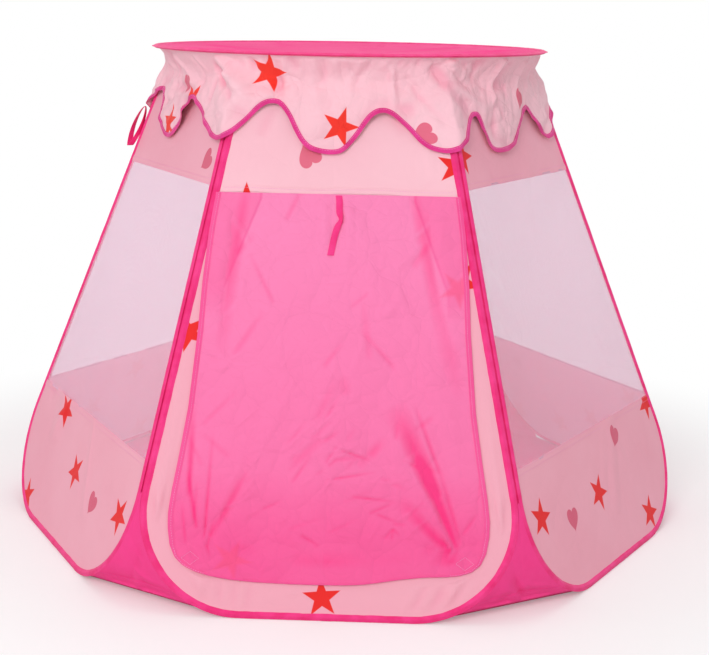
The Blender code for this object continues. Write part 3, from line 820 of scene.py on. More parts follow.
class Creases:
    """A set of ridges, worked out together."""

    def __init__(self, ridges: Iterable[Crease] = ()) -> None:
        """Keep the ridges."""
        self.ridges = list(ridges)

    def fan(self, across: float, up: float, turns: Sequence[float], length: float, width: float,
            height: float) -> Creases:
        """Add ridges that spread from one point.

        Args:
            across: The point's place across.
            up: The point's place up.
            turns: Direction of each ridge, in degrees from straight across.
            length: Length of the ridges.
            width: Width of each ridge near the point.
            height: Height of the tallest ridge.

        Returns:
            This set.
        """
        for index, turn in enumerate(turns):
            share = 1 - 0.35 * (index % 3) / 2
            self.ridges.append(Crease(across, up, math.radians(turn), length * share, width,
                                      height * share, 2.2))
        return self

    def lines(self, *runs: tuple[float, float, float, float, float, float, float]) -> Creases:
        """Add ridges by their two ends.

        Args:
            *runs: Each ridge's first point and last point, then its width, height and flare.

        Returns:
            This set.
        """
        for across, up, last, top, width, height, flare in runs:
            self.ridges.append(Crease(across, up, math.atan2(top - up, last - across),
                                      math.hypot(last - across, top - up), width, height, flare))
        return self

    def scatter(self, seed: int, count: int, box: tuple[float, float, float, float],
                length: tuple[float, float], width: tuple[float, float], height: float,
                lean: tuple[float, float] = (0, 180)) -> Creases:
        """Add ridges at random places.

        Args:
            seed: Seed of the random numbers.
            count: How many ridges.
            box: Lowest across, highest across, lowest up and highest up.
            length: Shortest and longest ridge.
            width: Narrowest and widest ridge.
            height: Height of the tallest ridge; half of them are valleys.
            lean: Lowest and highest direction, in degrees.

        Returns:
            This set.
        """
        chance = np.random.default_rng(seed)
        for index in range(count):
            sign = 1 if index % 2 else -1
            self.ridges.append(Crease(
                chance.uniform(box[0], box[1]), chance.uniform(box[2], box[3]),
                math.radians(chance.uniform(*lean)), chance.uniform(*length), chance.uniform(*width),
                sign * height * chance.uniform(0.3, 1.0)))
        return self

    def rise(self, across: Array, up: Array) -> Array:
        """Lift of all the ridges together; see Crease.rise."""
        total = np.zeros(np.broadcast(across, up).shape)
        for ridge in self.ridges:
            total += ridge.rise(across, up)
        return total


# Geometry node trees


class Threader:
    """Geometry trees that follow a path: binding swept round a wire, and runs of stitches."""

    def __init__(self) -> None:
        """Build the two trees."""
        self.sleeve = self._sleeve_tree()
        self.stitches = self._stitch_tree()

    def _sleeve_tree(self) -> Tree:
        """Tape folded round a wire: a thin flange on each side of a rounded middle."""
        desk, source, sink = open_group("folded_binding", "GeometryNodeTree", (
            "Geometry=Geometry, Width=0.014, Thickness=0.006, Flange=0.0013, Core=0.0032, Pucker=0.0005, "
            "Pucker Scale=60, Seed=0, Material=Material"), "Geometry=Geometry")
        path = desk.put("GeometryNodeMeshToCurve", {0: source.outputs["Geometry"]})
        upright = desk.put("GeometryNodeSetCurveNormal", {0: path.outputs[0]}, mode="Z_UP")
        circle = desk.put("GeometryNodeCurvePrimitiveCircle", {"Resolution": 22, "Radius": 1.0})
        place = desk.put("ShaderNodeSeparateXYZ", {0: desk.put("GeometryNodeInputPosition").outputs[0]})
        half = desk.math("MULTIPLY", source.outputs["Width"], 0.5)
        across = desk.math("MULTIPLY", place.outputs[0], half)
        edge = desk.math("MULTIPLY", source.outputs["Flange"], 0.5)
        swell = desk.math("SUBTRACT", desk.math("MULTIPLY", source.outputs["Thickness"], 0.5), edge)
        ratio = desk.math("POWER", desk.math("DIVIDE", across, source.outputs["Core"]), 2.0)
        bulge = desk.math("MULTIPLY", swell, desk.math(
            "EXPONENT", desk.math("MULTIPLY", ratio, -1.0)))
        rise = desk.math("ADD", desk.math("MULTIPLY", place.outputs[1], edge),
                         desk.math("MULTIPLY", desk.math("SIGN", desk.math(
                             "SNAP", place.outputs[1], 0.01)), bulge))
        shaped = desk.put("GeometryNodeSetPosition", {
            0: circle.outputs[0],
            "Position": desk.put("ShaderNodeCombineXYZ", {0: across, 1: rise}).outputs[0]})
        swept = desk.put("GeometryNodeCurveToMesh", {0: upright.outputs[0], 1: shaped.outputs[0]})
        swept.inputs["Fill Caps"].default_value = True
        noise = desk.put("ShaderNodeTexNoise", {
            "W": source.outputs["Seed"], "Scale": source.outputs["Pucker Scale"], "Detail": 2.0},
            noise_dimensions="4D")
        push = desk.math("MULTIPLY", desk.math("SUBTRACT", noise.outputs["Fac"], 0.5),
                         desk.math("MULTIPLY", source.outputs["Pucker"], 2.0))
        normal = desk.put("GeometryNodeInputNormal")
        offset = desk.put("ShaderNodeVectorMath", {0: normal.outputs[0], "Scale": push},
                          operation="SCALE")
        moved = desk.put("GeometryNodeSetPosition", {0: swept.outputs[0], "Offset": offset.outputs[0]})
        smooth = desk.put("GeometryNodeSetShadeSmooth", {0: moved.outputs[0]})
        real = desk.put("GeometryNodeRealizeInstances", {0: smooth.outputs[0]})
        dressed = desk.put("GeometryNodeSetMaterial", {0: real.outputs[0],
                                                       "Material": source.outputs["Material"]})
        desk.tree.links.new(dressed.outputs[0], sink.inputs[0])
        return desk.tree

    def _stitch_tree(self) -> Tree:
        """Run of stitches: short rounded lengths of thread along a path."""
        desk, source, sink = open_group("stitch_run", "GeometryNodeTree", (
            "Geometry=Geometry, Pitch=0.0045, Stitch Length=0.0031, Thread Radius=0.00035, "
            "Material=Material"), "Geometry=Geometry")
        path = desk.put("GeometryNodeMeshToCurve", {0: source.outputs["Geometry"]})
        spaced = desk.put("GeometryNodeResampleCurve", {0: path.outputs[0],
                                                        "Length": source.outputs["Pitch"]}, mode="LENGTH")
        grain = desk.put("GeometryNodeMeshUVSphere", {"Segments": 6, "Rings": 4, "Radius": 1.0})
        half = desk.math("MULTIPLY", source.outputs["Stitch Length"], 0.5)
        size = desk.put("ShaderNodeCombineXYZ", {0: source.outputs["Thread Radius"],
                                                 1: source.outputs["Thread Radius"], 2: half})
        shaped = desk.put("GeometryNodeTransform", {0: grain.outputs[0], "Scale": size.outputs[0]})
        turn = desk.put("FunctionNodeAlignRotationToVector", {
            "Vector": desk.put("GeometryNodeInputTangent").outputs[0]}, axis="Z")
        laid = desk.put("GeometryNodeInstanceOnPoints", {
            "Points": spaced.outputs[0], "Instance": shaped.outputs[0], "Rotation": turn.outputs[0]})
        real = desk.put("GeometryNodeRealizeInstances", {0: laid.outputs[0]})
        smooth = desk.put("GeometryNodeSetShadeSmooth", {0: real.outputs[0]})
        dressed = desk.put("GeometryNodeSetMaterial", {0: smooth.outputs[0],
                                                       "Material": source.outputs["Material"]})
        desk.tree.links.new(dressed.outputs[0], sink.inputs[0])
        return desk.tree

    def grow(self, name: str, tree: Tree, paths: Sequence[tuple[Array, bool]],
             matrix: Matrix, material: Material, **values: float) -> Thing:
        """Run a tree over some paths and keep the result as a plain mesh.

        Args:
            name: Name of the piece.
            tree: The geometry tree.
            paths: Points of each path, and whether it closes on itself.
            matrix: Where the result goes.
            material: Its finish.
            **values: The tree's inputs, with underscores for spaces.

        Returns:
            The new object.
        """
        corners, edges = [], []
        for points, closed in paths:
            start = len(corners)
            corners += [tuple(float(v) for v in point) for point in points]
            edges += [(start + i, start + i + 1) for i in range(len(points) - 1)]
            if closed:
                edges.append((start + len(points) - 1, start))
        mesh = bpy.data.meshes.new(name + "_path")
        mesh.from_pydata(corners, edges, [])
        carrier = bpy.data.objects.new(name + "_path", mesh)
        bpy.context.scene.collection.objects.link(carrier)
        modifier = carrier.modifiers.new("grow", "NODES")
        modifier.node_group = tree
        inputs = {item.name: item.identifier for item in tree.interface.items_tree
                  if item.item_type == "SOCKET" and item.in_out == "INPUT"}
        for key, value in values.items():
            modifier[inputs[key.replace("_", " ")]] = value
        modifier[inputs["Material"]] = material
        bpy.context.view_layer.update()
        depsgraph = bpy.context.evaluated_depsgraph_get()
        grown = bpy.data.meshes.new_from_object(carrier.evaluated_get(depsgraph))
        bpy.data.objects.remove(carrier)
        grown.name = name
        if not grown.materials:
            grown.materials.append(material)
        grown.transform(matrix)
        made = bpy.data.objects.new(name, grown)
        bpy.context.scene.collection.objects.link(made)
        return made


# Panels


class PanelPlace:
    """Place of one panel: its own frame and its rounded outline."""

    def __init__(self, step: int, left_gap: float, right_gap: float) -> None:
        """Work out the frame.

        Args:
            step: Panel turns from the front, counted towards +X.
            left_gap: Gap to the seam on its left.
            right_gap: Gap to the seam on its right.
        """
        self.gaps = {Edge.LEFT: left_gap, Edge.RIGHT: right_gap}
        azimuth = step * SIZES.turn
        outward = Vector((math.sin(azimuth), -math.cos(azimuth), 0))
        across = Vector((math.cos(azimuth), math.sin(azimuth), 0))
        up = Vector((0, 0, 1)) * math.cos(SIZES.lean) - outward * math.sin(SIZES.lean)
        self.matrix = Matrix((across, up, across.cross(up))).transposed().to_4x4()
        self.matrix.translation = outward * SIZES.flat_to_flat / 2

    def corner(self, level: float, radius: float, inset: float, gap: float,
               sign: int) -> tuple[float, float, float]:
        """Centre and radius of a rounded corner: its place across, its place up, its radius."""
        bend = max(radius - inset, SIZES.fit)
        up = level + sign * bend
        side = SIZES.base_half_width - up * math.tan(SIZES.taper)
        return side - (inset + gap + bend) / math.cos(SIZES.taper), up, bend

    def limits(self, inset: float) -> tuple[float, float]:
        """Lowest and highest height of the outline at an inset."""
        return inset - SIZES.hem_drop, SIZES.slope_length - inset

    def half_width(self, up: Array, inset: float, edge: Edge) -> Array:
        """Distance from the panel's middle line to its outline.

        Args:
            up: Heights up the slope.
            inset: How far inside the panel's edge the outline runs.
            edge: Which side.

        Returns:
            The distance at each height.
        """
        gap = self.gaps[edge]
        foot, head = self.limits(inset)
        up = np.clip(np.asarray(up, float), foot, head)
        width = (SIZES.base_half_width - up * math.tan(SIZES.taper)
                 - (inset + gap) / math.cos(SIZES.taper))
        low = self.corner(foot, SIZES.base_corner_radius, inset, gap, 1)
        high = self.corner(head, SIZES.top_corner_radius, inset, gap, -1)
        lean = math.sin(SIZES.taper)
        round_low = low[0] + np.sqrt(np.maximum(low[2] ** 2 - (up - low[1]) ** 2, 0))
        round_high = high[0] + np.sqrt(np.maximum(high[2] ** 2 - (up - high[1]) ** 2, 0))
        width = np.where(up < low[1] + low[2] * lean, round_low, width)
        return np.where(up > high[1] + high[2] * lean, round_high, width)

    def outline(self, inset: float, base_steps: int = 40, top_steps: int = 14,
                side_steps: int = 60) -> Array:
        """Rounded outline, anticlockwise from the middle of the foot.

        Args:
            inset: How far inside the panel's edge it runs.
            base_steps: Steps round a foot corner.
            top_steps: Steps round a head corner.
            side_steps: Steps up a straight side.

        Returns:
            Points across and up.
        """
        foot, head = self.limits(inset)
        halves = {}
        for edge in Edge:
            gap = self.gaps[edge]
            low = self.corner(foot, SIZES.base_corner_radius, inset, gap, 1)
            high = self.corner(head, SIZES.top_corner_radius, inset, gap, -1)
            angles = np.linspace(-math.pi / 2, SIZES.taper, base_steps)
            first = np.stack([low[0] + low[2] * np.cos(angles), low[1] + low[2] * np.sin(angles)], -1)
            angles = np.linspace(SIZES.taper, math.pi / 2, top_steps)
            last = np.stack([high[0] + high[2] * np.cos(angles), high[1] + high[2] * np.sin(angles)], -1)
            share = np.linspace(0, 1, side_steps)[1:-1, None]
            side = first[-1] * (1 - share) + last[0] * share
            foot_run = np.linspace(0, 1, 24)[:-1, None] * first[0] + (
                1 - np.linspace(0, 1, 24)[:-1, None]) * np.array([0, foot])
            head_run = np.linspace(0, 1, 16)[1:, None] * np.array([0, head]) + (
                1 - np.linspace(0, 1, 16)[1:, None]) * last[-1]
            halves[edge] = np.concatenate([foot_run, first, side, last, head_run])
        left = halves[Edge.LEFT][::-1] * np.array([-1, 1])
        return np.concatenate([halves[Edge.RIGHT], left[1:-1]])

    def world(self, across: Array, up: Array, out: Array | float) -> Array:
        """Points in the tent's frame.

        Args:
            across: Coordinates across the panel.
            up: Coordinates up its slope.
            out: Coordinates out of it.

        Returns:
            An array with three numbers for each point.
        """
        across, up, out = np.broadcast_arrays(across, up, out)
        local = np.stack([across, up, out, np.ones_like(across)], -1)
        return (local @ np.array(self.matrix.transposed()))[..., :3]

    def sighted(self, pixels: Array, out: float) -> Array:
        """Where the photograph's camera sees pixels on the panel.

        Args:
            pixels: Rows of pixels across and down.
            out: Distance outside the panel at which they are taken to lie.

        Returns:
            Rows of places across the panel and up its slope.
        """
        eye, rays = Camera().sight(pixels)
        frame = np.array(self.matrix)
        start, rays = (eye - frame[:3, 3]) @ frame[:3, :3], rays @ frame[:3, :3]
        return start[:2] + rays[:, :2] * (out - start[2]) / rays[:, 2:]


@dataclass(frozen=True)
class Bend:
    """Where cloth turns from one body to the next: the other body, and where the turn starts and ends."""

    other: str
    start: tuple[float, float, float]
    end: tuple[float, float, float]


@dataclass
class Dresser:
    """What every sub-assembly needs: the finishes and the path trees."""

    finishes: Finishes
    threader: Threader

    def settle(self, piece: Thing, body: str, slot: Slot, stands_for: Sequence[str] = (),
               bend: Bend | None = None) -> Thing:
        """Ride a piece on its body, or on no body where it bends across a seam, and hide what it stands for.

        Args:
            piece: The finished piece.
            body: Name of the body that it moves with.
            slot: The record's slot of its finish; not used.
            stands_for: Solids that it replaces.
            bend: The seam that it bends across, for cloth that doesn't move with one body alone.

        Returns:
            The piece.
        """
        if bend is None:
            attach(piece, body)
        else:
            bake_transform(piece)
        if stands_for:
            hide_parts(*stands_for)
        LOG.info("%s moves with %s, %d faces", piece.name, body, len(piece.data.polygons))
        return piece

    def stitch(self, name: str, paths: Sequence[tuple[Array, bool]], matrix: Matrix, body: str,
               pale: bool = False, bend: Bend | None = None, **values: float) -> Thing:
        """Sew runs of stitches and ride them on a body.

        Args:
            name: Name of the piece.
            paths: Points of each run, and whether it closes on itself.
            matrix: Frame of the points.
            body: Body that the stitches move with.
            pale: Whether the thread is the pale one.
            bend: The seam that the stitches bend across, if any.
            **values: Inputs of the stitch tree.

        Returns:
            The stitches.
        """
        thread = self.finishes.pale_thread if pale else self.finishes.thread
        piece = self.threader.grow(name, self.threader.stitches, paths, matrix, thread, **values)
        return self.settle(piece, body, Slot.BINDING, bend=bend)


@dataclass
class PanelDress(Dresser):
    """Binding and cloth of one panel."""

    name: str = ""
    place: PanelPlace | None = None
    marks: Sequence[Mark] = ()
    seed: int = 0
    tape_width: float = 0.0118
    hem: float = 0.010
    hem_lift: float = 0.0006
    net_thickness: float = 0.0001

    @property
    def body(self) -> str:
        """Name of the body that the panel rides on."""
        return self.name + "_panel"

    def bind(self) -> None:
        """Sleeve round the wire, the lap where its ends meet, and its two lines of stitches."""
        middle = self.tape_width / 2
        outline = self.place.outline(middle)
        level = SIZES.cloth_middle
        path = np.column_stack([outline, np.full(len(outline), level)])
        sleeve = self.threader.grow(
            self.name + "_binding", self.threader.sleeve, [(path, True)], self.place.matrix,
            self.finishes.binding, Width=self.tape_width, Thickness=SIZES.sleeve_thickness,
            Seed=float(self.seed))
        self.settle(sleeve, self.body, Slot.BINDING, (self.name + "_binding_sleeve",))
        foot = self.place.limits(middle)[0]
        lap = np.array([[x, foot, level] for x in np.linspace(-0.008, 0.010, 7)])
        wrap = self.threader.grow(
            self.name + "_binding_lap", self.threader.sleeve, [(lap, False)], self.place.matrix,
            self.finishes.binding, Width=self.tape_width + 0.0004,
            Thickness=SIZES.sleeve_thickness + 0.0008, Flange=0.0022, Pucker=0.0002)
        self.settle(wrap, self.body, Slot.BINDING)
        runs = []
        inner = self.place.outline(self.tape_width - 0.0022)
        for side in (-1, 1):
            runs.append((np.column_stack([inner, np.full(len(inner), level + side * 0.00085)]), True))
        self.stitch(self.name + "_binding_stitches", runs, self.place.matrix, self.body)

    def slack(self, seed: int, depth: float) -> Relief:
        """Gentle folds of a cloth that hangs between its seams.

        Args:
            seed: Seed of the folds.
            depth: Height of the tallest fold.

        Returns:
            The folds' height at points of the panel.
        """
        folds = Creases().scatter(seed, 16, (-0.30, 0.30, -0.02, 0.9), (0.10, 0.32), (0.012, 0.030),
                                  depth, (55, 125))
        return folds.rise

    def strip(self, part: str, low: float, high: float, rows: int, columns: int, relief: Relief,
              material: Material, thickness: float,
              hems: Sequence[float] = ()) -> Thing:
        """Cloth between two heights of the panel.

        Args:
            part: What the piece is called after the panel's name.
            low: Lowest height up the slope.
            high: Highest height.
            rows: Rows of points.
            columns: Columns of points.
            relief: Folds of the cloth.
            material: Its finish.
            thickness: Its thickness.
            hems: Heights at which a folded hem ends.

        Returns:
            The new piece.
        """
        inset = self.tape_width - 0.0015
        foot, head = self.place.limits(inset)
        bottom, top = max(low, foot + 0.0002), min(high, head - 0.0002)
        up = spread_rows(bottom, top, rows, low < foot, high > head)[:, None]
        left = self.place.half_width(up, inset, Edge.LEFT)
        right = self.place.half_width(up, inset, Edge.RIGHT)
        share = np.linspace(0, 1, columns)[None, :]
        across = -left + (left + right) * share
        heights = np.broadcast_to(up, across.shape)
        edge = np.minimum(np.minimum(across + left, right - across), 0.03) / 0.03
        ends = np.minimum(np.minimum(heights - foot, head - heights), 0.03) / 0.03
        still = np.clip(np.minimum(edge, ends), 0, 1)
        out = SIZES.cloth_middle + relief(across, heights) * still ** 1.3
        for hem in hems:
            out = out + self.hem_lift * np.exp(-((heights - hem) / (self.hem / 2)) ** 4)
        points = self.place.world(across, heights, out)
        # Painted shade in the valleys of the folds.
        return solid_sheet(self.name + part, points, np.stack([across, heights], -1), thickness, material,
                           fold_shade=-relief(across, heights) / 0.005)

    def hang_cloth(self) -> None:
        """Printed sill and top cloths with their hems, and the net between them."""
        # Painted shade: the darker copy of the printed cloth.
        print_cloth = self.finishes.printed(self.name + "_print", self.marks, self.finishes.shaded_side_cloth)
        sill, head = SIZES.sill_height, SIZES.window_top
        cloths = (("_sill", -1.0, sill, 64, 96, sill - self.hem / 2, "_sill_cloth"),
                  ("_top", head, 2.0, 40, 72, head + self.hem / 2, "_top_cloth"))
        for part, low, high, rows, columns, hem, solid in cloths:
            piece = self.strip(part, low, high, rows, columns, self.slack(self.seed + 5, 0.0036),
                               print_cloth, SIZES.cloth, (hem,))
            self.settle(piece, self.body, Slot.PRINT, (self.name + solid,))
            self.declare(piece, part == "_sill")
        net = self.strip("_net", sill - 0.004, head + 0.004, 60, 60, self.slack(self.seed + 9, 0.0016),
                         self.finishes.rear_net if "back" in self.name else self.finishes.net,
                         self.net_thickness)
        self.settle(net, self.body, Slot.NET, (self.name + "_window_net",))
        self.flat_area(sill - 0.004, head + 0.004)
        inset = self.tape_width
        runs = []
        for level in (sill - self.hem, sill - 0.0015, head + 0.0015, head + self.hem):
            width = [float(self.place.half_width(level, inset, edge)) for edge in Edge]
            across = np.linspace(-width[0], width[1], 60)
            out = SIZES.cloth_middle + self.hem_lift + SIZES.cloth / 2 + 0.0001
            runs.append((np.column_stack([across, np.full(60, level), np.full(60, out)]), False))
        self.stitch(self.name + "_hem_stitches", runs, self.place.matrix, self.body, pale=True,
                    Pitch=0.005)

    def flat_area(self, low: float, high: float) -> float:
        """Area of the panel's cloth between two heights, before it was hung."""
        inset = self.tape_width - 0.0015
        foot, head = self.place.limits(inset)
        up = np.linspace(max(low, foot), min(high, head), 400)
        width = sum(self.place.half_width(up, inset, edge) for edge in Edge)
        return float(np.trapz(width, up))

    def declare(self, piece: Thing, is_sill: bool) -> None:
        """Work out the flat area that a printed cloth was cut to; the result is not kept.

        Args:
            piece: The cloth; not used.
            is_sill: Whether it is the sill cloth rather than the top cloth.
        """
        low, high = (-1.0, SIZES.sill_height) if is_sill else (SIZES.window_top, 2.0)
        foot, head = self.place.limits(self.tape_width - 0.0015)
        self.flat_area(low, high)


# Doorway


@dataclass
class DoorDress(PanelDress):
    """Door surround of the front panel, with the flap and what is sewn on it."""

    sill: float = 0.120
    head: float = 0.695
    head_half: float = 0.130
    shoulder: float = 0.540
    shoulder_half: float = 0.188
    sill_half: float = 0.215
    corner: float = 0.070
    flap_top: float = 0.7045
    flap_face: float = 0.0048
    flap_hem: float = 0.0090
    patch_side: float = 0.0205
    patch_across: float = 0.2245
    patch_up: float = 0.0915
    sighted_out: float = 0.012
    pull_pixels: Sequence[tuple[float, ...]] = field(default_factory=lambda: (
        (458, 552, 418, 455, 0.006, -0.007, 2), (437, 499, 394, 405, 0.012, -0.0055, 1),
        (461, 545, 437, 463, 0.004, -0.0034, 0.6), (440, 474, 413, 400, 0.004, -0.003, 0.4),
        (459, 563, 440, 538, 0.0035, -0.005, 0.4), (457, 560, 398, 499, 0.006, -0.0048, 1.6),
        (456, 563, 422, 549, 0.005, -0.005, 1.2), (455, 554, 422, 488, 0.005, 0.0044, 0.8),
        (462, 536, 483, 507, 0.004, -0.0026, 0.5), (478, 507, 483, 445, 0.004, -0.003, 0.3),
        (203, 557, 217, 510, 0.0035, -0.0048, 0.8), (209, 537, 262, 447, 0.007, -0.0062, 1.4),
        (200, 552, 236, 480, 0.005, 0.0036, 1.2), (196, 529, 187, 470, 0.0035, -0.005, 0.6),
        (188, 497, 193, 405, 0.005, -0.0045, 0.5), (203, 548, 213, 430, 0.003, -0.003, 0.5),
        (193, 521, 197, 480, 0.003, -0.0024, 0.3), (185, 545, 181, 500, 0.003, -0.003, 0.3),
        (222, 546, 302, 557, 0.004, -0.0026, 0.3), (290, 558, 332, 560, 0.005, -0.0045, 0.2),
        (322, 562, 428, 554, 0.004, -0.003, 0.5), (300, 535, 324, 549, 0.003, -0.0026, 0),
        (341, 450, 371, 461, 0.003, -0.0026, 0), (327, 480, 378, 472, 0.003, -0.0024, 0),
        (352, 497, 397, 502, 0.003, -0.0024, 0), (369, 514, 396, 502, 0.003, -0.0022, 0),
        (376, 514, 398, 523, 0.003, -0.0024, 0), (393, 529, 384, 539, 0.003, -0.0022, 0),
        (393, 529, 392, 542, 0.003, -0.0022, 0), (393, 529, 401, 538, 0.003, -0.0022, 0),
        (235, 428, 262, 405, 0.003, 0.002, 0), (244, 472, 266, 452, 0.003, 0.002, 0)))
    flap_edge: Sequence[tuple[float, float]] = field(default_factory=lambda: (
        (0.0535, 0.060), (0.0550, 0.120), (0.0580, 0.160), (0.0630, 0.192), (0.0700, 0.217),
        (0.0790, 0.236), (0.0920, 0.2500), (0.1120, 0.2590), (0.1400, 0.2635), (0.1650, 0.2640),
        (0.2000, 0.2600), (0.2600, 0.2500), (0.3400, 0.2380), (0.4700, 0.2270), (0.5500, 0.2230),
        (0.6400, 0.2150), (0.7045, 0.2060)))

    def doorway(self, grow: float = 0.0) -> Array:
        """Outline of the doorway, anticlockwise from the middle of its sill.

        Args:
            grow: How far outside the cut edge the outline runs.

        Returns:
            Points across and up.
        """
        lean = math.atan2(self.sill_half - self.shoulder_half, self.shoulder - self.sill)
        angles = np.linspace(-math.pi / 2, lean, 14)
        centre = np.array([self.sill_half - self.corner, self.sill + self.corner])
        reach = self.corner + grow
        turn = centre + reach * np.stack([np.cos(angles), np.sin(angles)], -1)
        shoulder = np.array([self.shoulder_half + grow, self.shoulder])
        head = np.array([self.head_half + grow, self.head + grow])
        marks = [np.array([0, self.sill - grow]), *turn, shoulder, head, np.array([0, self.head + grow])]
        spots = []
        for first, last in zip(marks, marks[1:]):
            steps = max(1, round(float(np.linalg.norm(last - first)) / 0.012))
            spots += [first + (last - first) * i / steps for i in range(steps)]
        right = np.array(spots + [marks[-1]])
        return np.concatenate([right, (right[::-1] * np.array([-1, 1]))[1:-1]])

    def surround_relief(self) -> Relief:
        """Pull lines of the surround, which fan from the loop's feet and head."""
        folds = Creases()
        for sign, base in ((-1, 180), (1, 0)):
            turns = [base + sign * t for t in (96, 84, 74, 64)]
            folds.fan(sign * 0.20, 0.03, turns, 0.30, 0.006, 0.0032)
            folds.fan(sign * 0.285, 0.15, [base + sign * t for t in (97, 104, 90)], 0.34, 0.006, 0.0030)
        for index in range(8):
            left, right = -0.212 + 0.012 * index, 0.120 + 0.015 * index
            folds.lines((left, 0.006, left + 0.004, 0.064, 0.0060, (-1) ** index * 0.0018, 0.4),
                        (right, 0.006, right + 0.034, 0.072, 0.0060, (-1) ** index * 0.0018, 0.4))
        folds.scatter(31, 26, (-0.30, 0.30, 0.0, 0.9), (0.06, 0.22), (0.006, 0.016), 0.0016, (60, 120))
        folds.scatter(32, 14, (-0.20, 0.20, 0.70, 0.88), (0.06, 0.16), (0.008, 0.016), 0.0018, (0, 180))
        return folds.rise

    def hang_surround(self) -> None:
        """Printed cloth round the doorway, the tape round its edge, and the hem over the flap."""
        inset = self.tape_width - 0.0015
        outer = self.place.outline(inset)
        inner = self.doorway()
        columns = 420
        loops = [self.even(loop, columns) for loop in (outer, inner)]
        share = np.linspace(0, 1, 60)[:, None, None]
        flat = loops[0][None] * (1 - share) + loops[1][None] * share
        across, up = flat[..., 0], flat[..., 1]
        still = np.minimum(np.minimum(share[..., 0], 1 - share[..., 0]) * 5, 1) + 0 * across
        off = np.maximum(np.abs(across) - self.flap_half(up), self.flap_edge[0][0] - up)
        bare = np.clip(np.maximum(off, up - self.flap_top) / 0.014, 0, 1)
        rise = self.surround_relief()(across, up) * still * bare
        points = self.place.world(across, up, SIZES.cloth_middle + rise)
        places = np.concatenate([flat, flat[:, :1]], axis=1)
        cloth = self.finishes.print_cloth.build("door_surround_print", self.finishes.groups, self.marks,
                                                self.shade_low)
        # Painted shade in the valleys of the pull lines.
        piece = solid_sheet("door_surround", points, places, SIZES.cloth, cloth, closed=True,
                            fold_shade=-rise / 0.004)
        self.settle(piece, self.body, Slot.PRINT, ("front_door_surround",))
        rows = [self.even(self.doorway(grow), 300) for grow in (-0.0006, 0.008)]
        band = np.stack([self.place.world(row[:, 0], row[:, 1], SIZES.cloth_middle - 0.0008)
                         for row in rows])
        flat = np.stack(rows)
        tape = solid_sheet("doorway_edge_tape", band[::-1], np.concatenate([flat, flat[:, :1]], 1)[::-1],
                           0.0005, self.finishes.edge_tape, closed=True)
        self.settle(tape, self.body, Slot.BINDING)
        self.lay_head_hem(cloth)

    def lay_head_hem(self, cloth: Material) -> None:
        """Folded lower edge of the cloth above the doorway, which covers the flap's top.

        Args:
            cloth: The surround's finish.
        """
        up = np.linspace(self.flap_top + 0.0006, self.flap_top + 0.0105, 6)[:, None]
        half = self.place.half_width(up, self.tape_width, Edge.RIGHT) - 0.001
        across = np.linspace(-1, 1, 90)[None, :] * half
        heights = up + 0.0012 * np.sin(across * 31) + 0.0008 * np.sin(across * 83 + 1)
        out = SIZES.cloth_middle + 0.0009 + 0.0007 * np.sin(math.pi * (up - up.min()) / 0.0099)
        points = self.place.world(across, heights, out + 0 * across)
        piece = solid_sheet("doorway_head_hem", points, np.stack([across, heights], -1), SIZES.cloth, cloth)
        self.settle(piece, self.body, Slot.PRINT)
        rail = np.linspace(-0.19, 0.19, 80)
        run = np.column_stack([rail, self.flap_top + 0.0075 + 0.0012 * np.sin(rail * 31),
                               np.full(80, SIZES.cloth_middle + 0.0019)])
        self.stitch("doorway_head_stitches", [(run, False)], self.place.matrix, self.body, pale=True)

    @staticmethod
    def even(loop: Array, count: int) -> Array:
        """Points at even steps round a closed loop.

        Args:
            loop: The loop's points, across and up.
            count: How many points.

        Returns:
            The points, from the loop's first one on.
        """
        ring = np.concatenate([loop, loop[:1]])
        steps = np.concatenate([[0], np.cumsum(np.linalg.norm(np.diff(ring, axis=0), axis=1))])
        spots = np.linspace(0, steps[-1], count, endpoint=False)
        return np.stack([np.interp(spots, steps, ring[:, axis]) for axis in (0, 1)], -1)

    @staticmethod
    def ring_area(loop: Array) -> float:
        """Area inside a closed loop."""
        after = np.roll(loop, -1, axis=0)
        return abs(float(np.sum(loop[:, 0] * after[:, 1] - after[:, 0] * loop[:, 1]))) / 2

    def flap_relief(self) -> Relief:
        """Folds of the flap: soft ones down its length, and the pulled ones of the photograph.

        A row of pull_pixels is a crease's two ends, read in pixels of the photograph, then its
        width and height in metres and its flare.
        """
        broad = Creases([
            Crease(-0.155, 0.712, math.radians(-98), 0.30, 0.010, -0.0030, 1.0),
            Crease(0.125, 0.712, math.radians(-76), 0.36, 0.010, -0.0030, 1.0),
            Crease(0.165, 0.700, math.radians(-82), 0.26, 0.014, 0.0035, 1.0),
            Crease(-0.190, 0.700, math.radians(-95), 0.28, 0.014, 0.0035, 1.0),
            Crease(0.012, 0.700, math.radians(-66), 0.62, 0.020, 0.0060, 1.2),
            Crease(0.060, 0.620, math.radians(-70), 0.50, 0.014, -0.0045, 1.2),
            Crease(-0.060, 0.400, math.radians(-112), 0.38, 0.018, 0.0045, 1.0),
            Crease(-0.020, 0.705, math.radians(-92), 0.14, 0.010, 0.0045, 0.5),
            Crease(0.016, 0.705, math.radians(-88), 0.16, 0.010, 0.0045, 0.5)])
        pulls = np.array(self.pull_pixels)
        first, last = (self.place.sighted(pulls[:, axis:axis + 2], self.sighted_out) for axis in (0, 2))
        broad.lines(*np.column_stack([first, last, pulls[:, 4:]]).tolist())
        broad.scatter(41, 26, (-0.04, 0.15, 0.11, 0.30), (0.02, 0.06), (0.0030, 0.0050), 0.0020, (-30, 60))
        broad.scatter(43, 34, (-0.19, 0.00, 0.13, 0.45), (0.02, 0.07), (0.0030, 0.0055), 0.0020, (20, 70))
        broad.scatter(42, 44, (-0.22, 0.20, 0.20, 0.68), (0.03, 0.12), (0.004, 0.010), 0.0018, (30, 150))
        return broad.rise

    def flap_half(self, up: Array) -> Array:
        """Half the flap's width at a height."""
        table = np.array(self.flap_edge)
        return np.interp(up, table[:, 0], table[:, 1])

